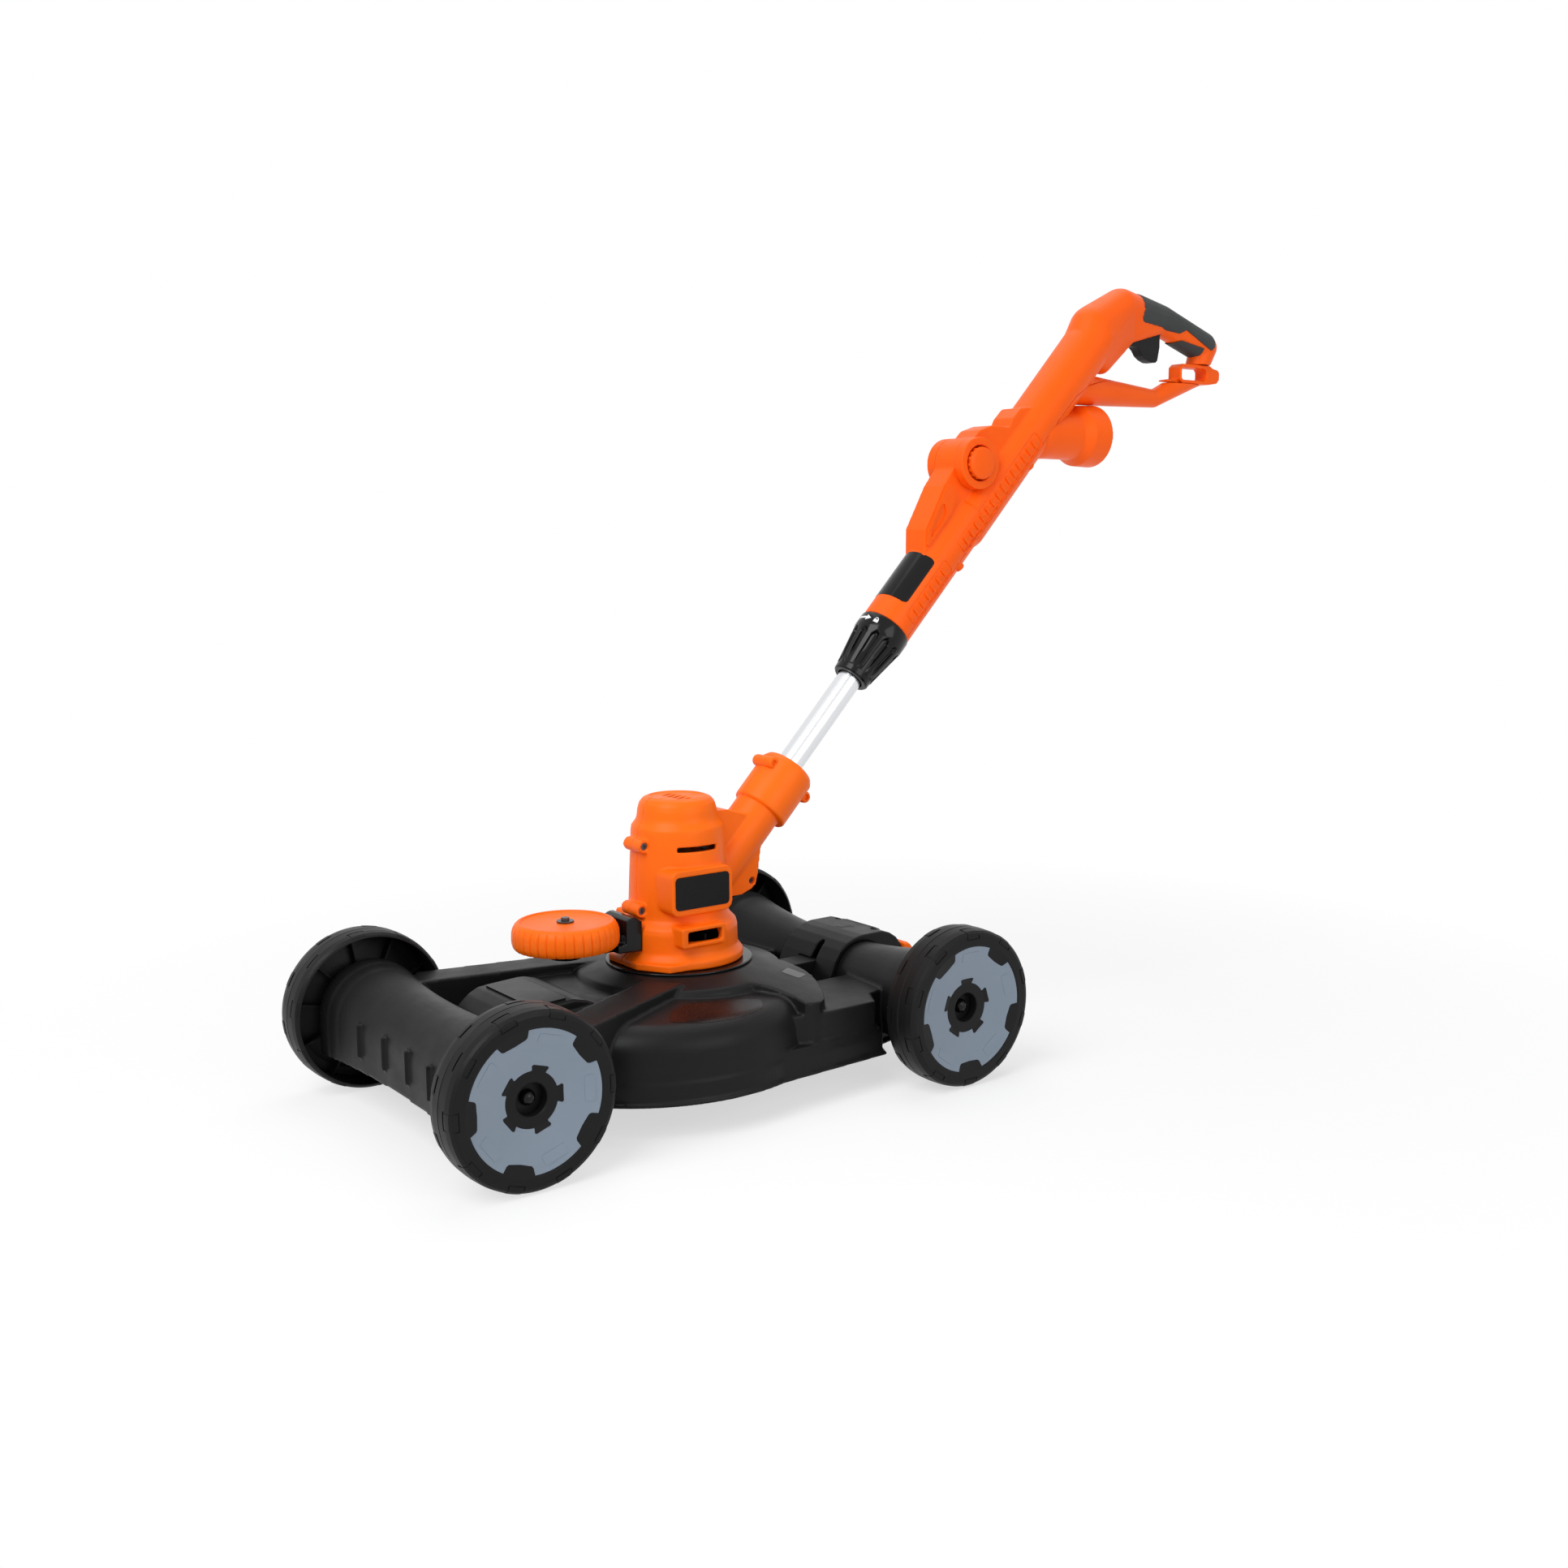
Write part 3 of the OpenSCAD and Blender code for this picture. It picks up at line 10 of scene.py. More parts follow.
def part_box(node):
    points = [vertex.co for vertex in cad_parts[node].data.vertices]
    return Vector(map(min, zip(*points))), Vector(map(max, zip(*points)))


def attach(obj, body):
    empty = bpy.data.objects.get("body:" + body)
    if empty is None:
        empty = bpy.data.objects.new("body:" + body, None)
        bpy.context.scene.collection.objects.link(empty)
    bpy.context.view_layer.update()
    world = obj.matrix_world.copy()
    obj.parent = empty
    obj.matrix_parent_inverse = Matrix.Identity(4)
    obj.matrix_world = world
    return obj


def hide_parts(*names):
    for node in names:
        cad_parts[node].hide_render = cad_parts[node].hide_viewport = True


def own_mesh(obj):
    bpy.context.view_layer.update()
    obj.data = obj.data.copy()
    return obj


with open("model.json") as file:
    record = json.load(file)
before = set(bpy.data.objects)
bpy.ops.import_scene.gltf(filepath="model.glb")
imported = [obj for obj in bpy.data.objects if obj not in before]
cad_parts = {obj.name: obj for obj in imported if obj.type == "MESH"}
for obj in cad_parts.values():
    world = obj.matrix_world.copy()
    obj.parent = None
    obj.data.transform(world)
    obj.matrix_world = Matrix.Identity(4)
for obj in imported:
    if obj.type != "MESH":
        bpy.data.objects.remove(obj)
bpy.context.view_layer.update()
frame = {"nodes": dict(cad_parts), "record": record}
nodes = frame["nodes"]
body_of_node = {n: b for b, ns in frame["record"]["behaviour"]["bodies"].items() for n in ns}
slot_of_node = {s["node"]: s["material_slot"] for s in frame["record"]["subparts"]}


# Parts of a finish

def new_material(name):
    """Material with a plain shader, and the coordinates of the piece that its patterns read."""
    mat = bpy.data.materials.new(name)
    mat.use_nodes = True
    tree = mat.node_tree
    tree.nodes.clear()
    out = tree.nodes.new("ShaderNodeOutputMaterial")
    shader = tree.nodes.new("ShaderNodeBsdfPrincipled")
    tree.links.new(shader.outputs["BSDF"], out.inputs["Surface"])
    coords = tree.nodes.new("ShaderNodeTexCoord")
    return mat, tree, shader, coords.outputs["Object"]


def noise(tree, coords, scale, detail):
    cloud = tree.nodes.new("ShaderNodeTexNoise")
    cloud.inputs["Scale"].default_value = scale
    cloud.inputs["Detail"].default_value = detail
    cloud.inputs["Roughness"].default_value = 0.55
    tree.links.new(coords, cloud.inputs["Vector"])
    return cloud.outputs["Fac"]


def spread(tree, value, low, high, start=0.3, stop=0.7):
    """Stretches what lies between start and stop to low and high."""
    ramp = tree.nodes.new("ShaderNodeMapRange")
    ramp.inputs["From Min"].default_value = start
    ramp.inputs["From Max"].default_value = stop
    ramp.inputs["To Min"].default_value = low
    ramp.inputs["To Max"].default_value = high
    tree.links.new(value, ramp.inputs["Value"])
    return ramp.outputs["Result"]


def mix_colour(tree, share, first, second):
    """Colour between two, by a share from 0 to 1; the sockets of a colour mix go by number."""
    share_in, first_in, second_in, colour_out = 0, 6, 7, 2
    blend = tree.nodes.new("ShaderNodeMix")
    blend.data_type = "RGBA"
    blend.inputs[first_in].default_value = (*first, 1.0)
    blend.inputs[second_in].default_value = (*second, 1.0)
    tree.links.new(share, blend.inputs[share_in])
    return blend.outputs[colour_out]


def bump(tree, shader, height, distance, strength):
    relief = tree.nodes.new("ShaderNodeBump")
    relief.inputs["Distance"].default_value = distance
    relief.inputs["Strength"].default_value = strength
    tree.links.new(height, relief.inputs["Height"])
    tree.links.new(relief.outputs["Normal"], shader.inputs["Normal"])


def moulded(name, colour, tint, rough, grain, depth, shine=0.5):
    """Injection-moulded plastic: spark-eroded grain, slight flow marks in the colour and an uneven sheen."""
    flow_scale, sheen_scale, grain_strength = 9.0, 38.0, 0.55
    mat, tree, shader, xyz = new_material(name)
    flow = spread(tree, noise(tree, xyz, flow_scale, 3.0), 0.0, 1.0)
    sheen = spread(tree, noise(tree, xyz, sheen_scale, 5.0), *rough)
    tree.links.new(mix_colour(tree, flow, colour, tint), shader.inputs["Base Color"])
    tree.links.new(sheen, shader.inputs["Roughness"])
    shader.inputs["IOR"].default_value = 1.5
    shader.inputs["Specular IOR Level"].default_value = shine
    bump(tree, shader, noise(tree, xyz, grain, 2.0), depth, grain_strength)
    return mat


def drawn_metal(name, colour, tint, rough, along):
    """Drawn tube or rod: fine lines that run along the piece."""
    line_width, line_length, line_depth, line_strength = 1 / 420.0, 2.0, 0.000004, 0.15
    mat, tree, shader, xyz = new_material(name)
    turn = tree.nodes.new("ShaderNodeMapping")
    turn.vector_type = "TEXTURE"
    turn.inputs["Rotation"].default_value = along
    turn.inputs["Scale"].default_value = (line_width, line_width, line_length)
    tree.links.new(xyz, turn.inputs["Vector"])
    lines = noise(tree, turn.outputs["Vector"], 1.0, 3.0)
    share = spread(tree, lines, 0.0, 1.0)
    tree.links.new(mix_colour(tree, share, colour, tint), shader.inputs["Base Color"])
    tree.links.new(spread(tree, lines, rough - 0.03, rough + 0.04), shader.inputs["Roughness"])
    shader.inputs["Metallic"].default_value = 1.0
    bump(tree, shader, lines, line_depth, line_strength)
    return mat


# The finishes of this trimmer

pole_lean = math.radians(-43.85)

orange = moulded("orange_plastic", (1.0, 0.160, 0.004), (0.95, 0.142, 0.003),
                 rough=(0.36, 0.46), grain=1500.0, depth=0.00003, shine=0.17)
# Same orange plastic as above, painted darker and redder: painted shade on the handle, its button, heel,
# bosses and marks.
painted_shade_orange = moulded("painted_shade_orange_plastic", (1.0, 0.122, 0.003), (0.96, 0.110, 0.0025),
                        rough=(0.36, 0.46), grain=1500.0, depth=0.00003, shine=0.17)
deck_black = moulded("deck_black_plastic", (0.0058, 0.0058, 0.0062), (0.0080, 0.0080, 0.0085),
                     rough=(0.34, 0.45), grain=900.0, depth=0.0001, shine=0.14)
wheel_black = moulded("wheel_black_plastic", (0.0058, 0.0058, 0.0062), (0.0080, 0.0080, 0.0085),
                      rough=(0.36, 0.48), grain=800.0, depth=0.0001, shine=0.14)
disc_grey = moulded("wheel_disc_grey", (0.218, 0.262, 0.318), (0.198, 0.240, 0.294),
                    rough=(0.42, 0.5), grain=1300.0, depth=0.00006, shine=0.22)
gloss_black = moulded("gloss_black_plastic", (0.0028, 0.0028, 0.0031), (0.0042, 0.0042, 0.0045),
                      rough=(0.13, 0.2), grain=700.0, depth=0.00002, shine=0.22)
panel_black = moulded("bare_panel_black", (0.0040, 0.0040, 0.0043), (0.0056, 0.0056, 0.0060),
                      rough=(0.24, 0.31), grain=1200.0, depth=0.00002, shine=0.15)
plain_black = moulded("plain_black_plastic", (0.0062, 0.0062, 0.0067), (0.0085, 0.0085, 0.009),
                      rough=(0.42, 0.55), grain=900.0, depth=0.0001, shine=0.16)
soft_grip = moulded("soft_grip", (0.042, 0.045, 0.045), (0.050, 0.053, 0.053),
                    rough=(0.60, 0.74), grain=1100.0, depth=0.00016, shine=0.22)
label_grey = moulded("bare_label_grey", (0.060, 0.061, 0.063), (0.068, 0.069, 0.071),
                     rough=(0.30, 0.38), grain=1500.0, depth=0.00002, shine=0.3)
white_print = moulded("white_print", (0.80, 0.81, 0.82), (0.74, 0.75, 0.76),
                      rough=(0.40, 0.5), grain=1200.0, depth=0.00001, shine=0.3)
nylon = moulded("nylon_line", (0.70, 0.67, 0.60), (0.62, 0.60, 0.55),
                rough=(0.35, 0.45), grain=900.0, depth=0.00003)
winding = moulded("copper_winding", (0.45, 0.20, 0.08), (0.36, 0.16, 0.07),
                  rough=(0.35, 0.5), grain=700.0, depth=0.0002)
tube_metal = drawn_metal("satin_tube", (0.77, 0.78, 0.80), (0.70, 0.71, 0.73),
                         rough=0.24, along=(pole_lean, 0.0, 0.0))
rod_metal = drawn_metal("bright_rod", (0.56, 0.57, 0.58), (0.48, 0.49, 0.50),
                        rough=0.3, along=(0.0, math.pi / 2, 0.0))
screw_metal = drawn_metal("dark_screw", (0.13, 0.13, 0.14), (0.10, 0.10, 0.11),
                          rough=0.38, along=(0.0, 0.0, 0.0))

finish_of_slot = {
    "deck_black": deck_black, "wheel_black": wheel_black, "disc_grey": disc_grey, "orange": orange,
    "trim_black": gloss_black, "soft_grey": soft_grip, "inner_black": plain_black, "tube_metal": tube_metal,
    "steel": rod_metal, "dark_steel": screw_metal, "winding": winding, "line": nylon,
}


def finish(node):
    """A node's finish is its slot's, apart from glossy axle caps, satin plates and the handle's orange,
    which is the same orange painted darker and redder as painted shade.
    """
    if node == "axle_caps":
        return gloss_black
    if node in ("deck_plate", "badge_plates"):
        return panel_black
    # Orange on the handle and its button gets the copy with painted shade.
    if slot_of_node[node] == "orange" and body_of_node[node] in ("handle", "button"):
        return painted_shade_orange
    return finish_of_slot[slot_of_node[node]]


for name, obj in nodes.items():
    obj.data.materials.clear()
    obj.data.materials.append(finish(name))


# Making and dressing a piece

def settle(obj):
    """Turns an object's modifiers into a plain mesh."""
    deps = bpy.context.evaluated_depsgraph_get()
    mesh = bpy.data.meshes.new_from_object(obj.evaluated_get(deps))
    old = obj.data
    obj.modifiers.clear()
    obj.data = mesh
    bpy.data.meshes.remove(old)
    return obj


def add_object(name, mesh):
    obj = bpy.data.objects.new(name, mesh)
    bpy.context.scene.collection.objects.link(obj)
    return obj


def discard(obj):
    mesh = obj.data
    bpy.data.objects.remove(obj)
    bpy.data.meshes.remove(mesh)


def dress(obj, material, body, slot, *stands_for):
    """Gives a finished piece its material, the body it moves with and the nodes it stands for."""
    obj.data.materials.clear()
    obj.data.materials.append(material)
    for face in obj.data.polygons:
        face.material_index = 0
    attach(obj, body)
    if stands_for:
        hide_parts(*stands_for)
    return obj


def closed_mesh(work, name, smooth_below=None):
    """Mesh of a worked shape with its faces outwards, smooth over edges under the given angle."""
    bmesh.ops.recalc_face_normals(work, faces=work.faces)
    mesh = bpy.data.meshes.new(name)
    work.to_mesh(mesh)
    work.free()
    if smooth_below:
        mesh.shade_smooth()
        mesh.set_sharp_from_angle(angle=math.radians(smooth_below))
    return mesh


def joined(name, parts):
    """One object from several, which are used up."""
    work = bmesh.new()
    for part in parts:
        work.from_mesh(part.data)
        discard(part)
    mesh = bpy.data.meshes.new(name)
    work.to_mesh(mesh)
    work.free()
    return add_object(name, mesh)


def angles(count):
    """Even angles round a full turn."""
    return [2 * math.pi * i / count for i in range(count)]


def turned(name, rings, closed, smooth_below=38.0):
    """Skins rings of points; closed joins the last ring to the first, otherwise both ends are capped."""
    work = bmesh.new()
    made = [[work.verts.new(p) for p in ring] for ring in rings]
    count = len(made[0])
    for a, b in zip(made, made[1:] + (made[:1] if closed else [])):
        for i in range(count):
            k = (i + 1) % count
            work.faces.new((a[i], a[k], b[k], b[i]))
    if not closed:
        work.faces.new(made[0])
        work.faces.new(made[-1])
    return add_object(name, closed_mesh(work, name, smooth_below))


def sheet_mesh(name, rows, thickness):
    """Closed thin sheet through rows of (point, outward normal), sunk a little into what carries it."""
    sunk, smooth_below = 0.0004, 50.0
    work = bmesh.new()
    top = [[work.verts.new(p + n * thickness) for p, n in row] for row in rows]
    low = [[work.verts.new(p - n * sunk) for p, n in row] for row in rows]
    last_row, last_column = len(rows) - 1, len(rows[0]) - 1
    for i in range(last_row):
        for j in range(last_column):
            work.faces.new((top[i][j], top[i][j + 1], top[i + 1][j + 1], top[i + 1][j]))
            work.faces.new((low[i][j], low[i + 1][j], low[i + 1][j + 1], low[i][j + 1]))
    rim = [(i, 0) for i in range(last_row + 1)]
    rim += [(last_row, j) for j in range(1, last_column + 1)]
    rim += [(i, last_column) for i in range(last_row - 1, -1, -1)]
    rim += [(0, j) for j in range(last_column - 1, 0, -1)]
    for (a, b), (c, d) in zip(rim, rim[1:] + rim[:1]):
        work.faces.new((top[a][b], top[c][d], low[c][d], low[a][b]))
    return closed_mesh(work, name, smooth_below)


# The pole's own axes: x across, v square to the pole (the top is negative) and w along it

pole_frame = Matrix.Translation((0.0, -0.0862, 0.2926)) @ Matrix.Rotation(pole_lean, 4, "X")
hub_v, hub_w = -0.040, 0.376


def on_pole(x, v, w):
    return pole_frame @ Vector((x, v, w))


def round_pole(turn, radius, w):
    """Point at an angle round the pole, and the direction that it faces."""
    n = Vector((math.cos(turn), math.sin(turn), 0.0))
    return on_pole(radius * n.x, radius * n.y, w), pole_frame.to_3x3() @ n


# Mouldings: a node's solid with its edges eased, as a mould leaves them

def merged_copy(node, name):
    weld_gap = 0.00001
    mesh = nodes[node].data.copy()
    work = bmesh.new()
    work.from_mesh(mesh)
    bmesh.ops.remove_doubles(work, verts=work.verts, dist=weld_gap)
    work.to_mesh(mesh)
    work.free()
    return add_object(name, mesh)


def eased(node, name, voxel, passes, cutter=None):
    """Copies a node on a fine grid and lets its sharp edges run soft; a cutter is taken out first."""
    most_triangles = 150000
    obj = merged_copy(node, name)
    if cutter:
        cut = obj.modifiers.new("cut", "BOOLEAN")
        cut.object = cutter
        cut.operation = "DIFFERENCE"
        cut.solver = "EXACT"
    grid = obj.modifiers.new("grid", "REMESH")
    grid.mode = "VOXEL"
    grid.voxel_size = voxel
    soft = obj.modifiers.new("soft", "SMOOTH")
    soft.factor = 0.5
    soft.iterations = passes
    settle(obj)
    count = 2 * len(obj.data.polygons)
    if count > most_triangles:
        thin = obj.modifiers.new("thin", "DECIMATE")
        thin.ratio = most_triangles / count
        settle(obj)
    obj.data.shade_smooth()
    return dress(obj, finish(node), body_of_node[node], slot_of_node[node], node)


def mouldings():
    for node, voxel, passes in (
            ("handle_upper", 0.0010, 7), ("handle_lower", 0.0010, 7), ("head_right", 0.0010, 6),
            ("head_left", 0.0010, 6), ("deck_shell", 0.0014, 5), ("pedal_cover", 0.0009, 5),
            ("release_pedal", 0.0008, 5), ("guide_bracket", 0.0008, 4), ("cord_retainer", 0.0008, 5),
            ("plug_shroud", 0.0009, 5), ("hub_rings", 0.0008, 4), ("trigger", 0.0005, 3),
            ("grip_insert", 0.00045, 3), ("dock_ring", 0.0009, 3)):
        eased(node, node + "_moulding", voxel, passes)


def slotted_pad():
    """Soft pad of the grip, with four short slots across its rear."""
    axis = Vector((0.0, 0.072, 0.035)).normalized()
    out = Vector((0.0, -axis.z, axis.y))
    arch_centre = Vector((0.0, 0.064, 0.709))
    first, pitch, half_width, floor, top = 0.040, 0.0064, 0.0009, 0.0169, 0.0200
    section = ((-half_width, floor), (half_width, floor), (half_width, top), (-half_width, top))
    parts = []
    for k in range(4):
        middle = arch_centre + axis * (first + pitch * k)
        rings = []
        for i in range(25):
            a = math.radians(-58.0 + 116.0 * i / 24)
            ray = Vector((math.sin(a), 0.0, 0.0)) + out * math.cos(a)
            rings.append([pole_frame @ (middle + axis * along + ray * reach) for along, reach in section])
        parts.append(turned("slot", rings, False))
    cutter = joined("slots", parts)
    eased("grip_pad", "grip_pad_moulding", 0.00045, 3, cutter)
    discard(cutter)


# Collar, label, button and coil on the handle

def barrel_label():
    """Bare black label wrapped over the top of the handle's nose."""
    radius, low, high, corner, thickness = 0.0270, 0.2035, 0.2625, 0.005, 0.00025
    half, top = math.radians(62.0), math.radians(-90.0)
    along, across = 40, 48
    rows = []
    for i in range(along + 1):
        w = low + (high - low) * i / along
        reach = max(0.0, corner - min(w - low, high - w))
        span = half - (corner - math.sqrt(max(0.0, corner ** 2 - reach ** 2))) / radius
        row = []
        for j in range(across + 1):
            point, facing = round_pole(top + span * (2 * j / across - 1), radius, w)
            row.append((point, facing.normalized()))
        rows.append(row)
    label = add_object("nose_label", sheet_mesh("nose_label", rows, thickness))
    dress(label, gloss_black, "handle", "trim_black")


def lock_sleeve():
    """Locking collar: twelve straight flutes that run out at the narrow end, under a smooth flared band."""
    start, length, bore, foot, band = 0.112, 0.067, 0.0188, 0.0072, 0.0500
    flutes, points_per_flute, flute_depth, least_wall = 12, 24, 0.0036, 0.0009
    half_width, side_slope, arch, end_slope = 0.33, 0.10, 0.006, 0.0022
    profile = [(foot, 0.0200), (0.0080, 0.0206), (0.012, 0.0211), (0.046, 0.0265), (0.0485, 0.0269),
               (0.0505, 0.0274), (0.053, 0.0279), (0.0655, 0.0280), (0.0668, 0.0276)]
    heights = {z for z, _ in profile}
    heights |= {0.014 + 0.002 * i for i in range(14)}
    heights |= {0.0420 + 0.0008 * i for i in range(11)}
    around = angles(flutes * points_per_flute)

    def radius(z):
        for (z0, r0), (z1, r1) in zip(profile, profile[1:]):
            if z <= z1:
                return r0 + (r1 - r0) * (z - z0) / (z1 - z0)
        return profile[-1][1]

    rings = []
    for z in sorted(heights):
        room = min(flute_depth, max(0.0, radius(z) - bore - least_wall))
        ring = []
        for i, a in enumerate(around):
            t = abs((i / points_per_flute) % 1.0 - 0.5)
            side = min(1.0, max(0.0, (half_width - t) / side_slope))
            end = min(1.0, max(0.0, (band - arch * (t / half_width) ** 2 - z) / end_slope))
            r = radius(z) - room * side * side * (3 - 2 * side) * end
            ring.append(on_pole(r * math.cos(a), r * math.sin(a), start + z))
        rings.append(ring)
    for z in (length, foot):
        rings.append([on_pole(bore * math.cos(a), bore * math.sin(a), start + z) for a in around])
    dress(turned("lock_sleeve", rings, True, 34.0), gloss_black, "lock", "trim_black", "lock_collar")


def lock_marks():
    """White arrow and a small padlock printed on the collar's band, which say which way it locks."""
    middle, radius, print_depth = 0.1712, 0.0281, 0.00006
    shaft, head, tip = 0.0013, 0.0034, 0.0001
    lock_low, lock_high, shackle_rise = -0.0030, 0.0004, 1.15

    def printed(rows):
        return add_object("mark", sheet_mesh("mark", rows, print_depth))

    def band_between(columns):
        return printed([[round_pole(turn, radius, middle + low + (high - low) * share)
                         for turn, low, high in columns] for share in (0.0, 0.5, 1.0)])

    arrow = [(math.radians(-111 + 2 * i), -shaft, shaft) for i in range(13)]
    for i in range(10):
        half = head * (1 - i / 9) + tip
        arrow.append((math.radians(-86.9 + 1.4 * i), -half, half))
    lock = [(math.radians(-66 + 1.2 * i), lock_low, lock_high) for i in range(10)]
    shackle = []
    for reach in (0.0014, 0.0018, 0.0022):
        row = []
        for i in range(17):
            a = math.pi * i / 16
            turn = math.radians(-60.6) + reach * math.cos(a) / radius
            row.append(round_pole(turn, radius, middle + lock_high + shackle_rise * reach * math.sin(a)))
        shackle.append(row)
    parts = [band_between(arrow), band_between(lock), printed(shackle)]
    dress(joined("lock_marks", parts), white_print, "lock", "line")


def push_button():
    """Toothed push button with a domed face."""
    x0, x1, radius, teeth, points_per_tooth, tooth = 0.0200, 0.0320, 0.0155, 16, 10, 0.0012
    profile = [(x1 - 0.0040, 0.0004, False), (x1 - 0.0040, radius - 0.0030, False),
               (x0, radius - 0.0030, False), (x0, radius, True), (x0 + 0.0072, radius, True),
               (x0 + 0.0078, radius + 0.0008, False), (x0 + 0.0092, radius + 0.0012, False),
               (x1 - 0.0017, radius + 0.0008, False), (x1 - 0.0010, radius - 0.0004, False),
               (x1 - 0.0006, radius - 0.0025, False), (x1 - 0.0002, radius * 0.55, False),
               (x1, radius * 0.2, False), (x1, 0.0004, False)]
    around = angles(teeth * points_per_tooth)
    rings = []
    for x, r, toothed in profile:
        ring = []
        for i, a in enumerate(around):
            on_tooth = toothed and i % points_per_tooth < points_per_tooth / 2
            rr = r + (tooth if on_tooth else 0.0)
            ring.append(on_pole(x, hub_v + rr * math.cos(a), hub_w + rr * math.sin(a)))
        rings.append(ring)
    dress(turned("hub_push_button", rings, False, 34.0), painted_shade_orange, "button", "orange", "hub_button")


def button_coil():
    """Coil spring behind the push button; it moves with the handle and keeps its length."""
    low, high, seat, mean, wire = 0.01585, 0.02685, 0.0151, 0.0072, 0.00070
    turns, dead_turns, steps, kept = 5.5, 0.6, 240, 0.68
    rings = []
    for k in range(steps + 1):
        t = k / steps
        a = 2 * math.pi * turns * t
        rise = min(1.0, max(0.0, (t * turns - dead_turns) / (turns - 2 * dead_turns)))
        x = low + (high - low) * rise
        ring = []
        for b in angles(10):
            r = mean + wire * math.cos(b)
            ring.append(on_pole(x + wire * math.sin(b), hub_v + r * math.cos(a), hub_w + r * math.sin(a)))
        rings.append(ring)
    coil = dress(turned("button_coil", rings, False, 60.0), rod_metal, "handle", "steel", "hub_spring")
    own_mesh(coil)


# Guide wheel, lugs, heel and bosses

def edge_guide():
    """Guide wheel with a bulged, grooved rim round a sunk face."""
    low, high = (Vector(p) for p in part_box("guide_wheel"))
    mid, radius, tall = (low + high) / 2, (high.x - low.x) / 2, high.z - low.z
    grooves, points_per_groove, groove_depth, first_grooved, last_grooved = 36, 12, 0.0013, 6, 11
    profile = [(0.0054, 0.0008), (0.0120, 0.0008), (0.0140, 0.0080), (radius - 0.0080, 0.0080),
               (radius - 0.0072, 0.0006), (radius - 0.0055, 0.0), (radius - 0.0030, 0.0005),
               (radius - 0.0012, 0.0026), (radius - 0.0003, 0.0060), (radius, 0.0095),
               (radius - 0.0003, tall - 0.0090), (radius - 0.0013, tall - 0.0056),
               (radius - 0.0031, tall - 0.0025), (radius - 0.0050, tall - 0.0007),
               (radius - 0.0066, tall), (radius - 0.0080, tall - 0.0003),
               (radius - 0.0087, tall - 0.0015), (radius - 0.0093, tall - 0.0019),
               (0.0120, tall - 0.0019), (0.0054, tall - 0.0019)]
    rings = []
    for k, (r, z) in enumerate(profile):
        deep = groove_depth if first_grooved <= k <= last_grooved else 0.0
        ring = []
        for i, a in enumerate(angles(grooves * points_per_groove)):
            rr = r - deep * max(0.0, math.cos(2 * math.pi * i / points_per_groove)) ** 5
            ring.append(Vector((mid.x + rr * math.cos(a), mid.y + rr * math.sin(a), low.z + z)))
        rings.append(ring)
    wheel = turned("edge_guide_wheel", rings, True)
    dress(wheel, orange, body_of_node["guide_wheel"], "orange", "guide_wheel")


def neck_lugs():
    """Round screw lugs across the top and the bottom of the neck ring."""
    place_w = -0.0175
    profile = ((-0.0150, 0.0040), (-0.0146, 0.0050), (-0.0136, 0.0057), (-0.0120, 0.0060), (0.0120, 0.0060),
               (0.0136, 0.0057), (0.0146, 0.0050), (0.0150, 0.0040), (0.0150, 0.0030), (0.0125, 0.0028))
    parts = []
    for v in (-0.0255, 0.0295):
        rings = [[on_pole(x, v + r * math.cos(a), place_w + r * math.sin(a)) for a in angles(40)]
                 for x, r in profile]
        parts.append(turned("lug", rings, False))
    dress(joined("neck_ring_lugs", parts), orange, "trimmer", "orange")


def shroud_heel():
    """Rounded heel that carries the plug shroud's neck into the barrel."""
    profile = ((0.0030, 0.0220), (0.0030, 0.0263), (-0.0060, 0.0262), (-0.0110, 0.0250), (-0.0150, 0.0225),
               (-0.0180, 0.0180), (-0.0195, 0.0110), (-0.0200, 0.0040))
    low, high = (Vector(p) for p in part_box("plug_shroud"))
    mid = (low + high) / 2
    rings = [[Vector((mid.x + r * math.cos(a), low.y + y, mid.z + r * math.sin(a))) for a in angles(64)]
             for y, r in profile]
    dress(turned("plug_shroud_heel", rings, False), painted_shade_orange, "handle", "orange")


def screw_bosses():
    """Round bosses under the barrel, in which the handle's screws are sunk."""
    profile = ((0.0115, 0.00375), (0.0115, 0.0056), (0.0201, 0.0055), (0.0207, 0.0050), (0.0207, 0.0042),
               (0.0203, 0.00375))
    parts = []
    for x in (-0.018, 0.018):
        for w in (0.284, 0.430):
            rings = [[on_pole(x + r * math.cos(a), v, w + r * math.sin(a)) for a in angles(32)]
                     for v, r in profile]
            parts.append(turned("boss", rings, True))
    dress(joined("screw_bosses", parts), painted_shade_orange, "handle", "orange")


# Node trees for what repeats

def new_tree(name, inputs):
    """Empty node tree with named inputs beside the mesh that it works on."""
    tree = bpy.data.node_groups.new(name, "GeometryNodeTree")
    tree.interface.new_socket("Geometry", in_out="INPUT", socket_type="NodeSocketGeometry")
    for label, kind in inputs:
        tree.interface.new_socket(label, in_out="INPUT", socket_type="NodeSocket" + kind)
    tree.interface.new_socket("Geometry", in_out="OUTPUT", socket_type="NodeSocketGeometry")
    return tree


def end_tree(tree, given, copies):
    """Makes the copies real mesh, gives them the finish and hands them out."""
    solid = tree.nodes.new("GeometryNodeRealizeInstances")
    coated = tree.nodes.new("GeometryNodeSetMaterial")
    out = tree.nodes.new("NodeGroupOutput")
    tree.links.new(copies.outputs["Instances"], solid.inputs["Geometry"])
    tree.links.new(solid.outputs["Geometry"], coated.inputs["Geometry"])
    tree.links.new(given.outputs["Finish"], coated.inputs["Material"])
    tree.links.new(coated.outputs["Geometry"], out.inputs["Geometry"])


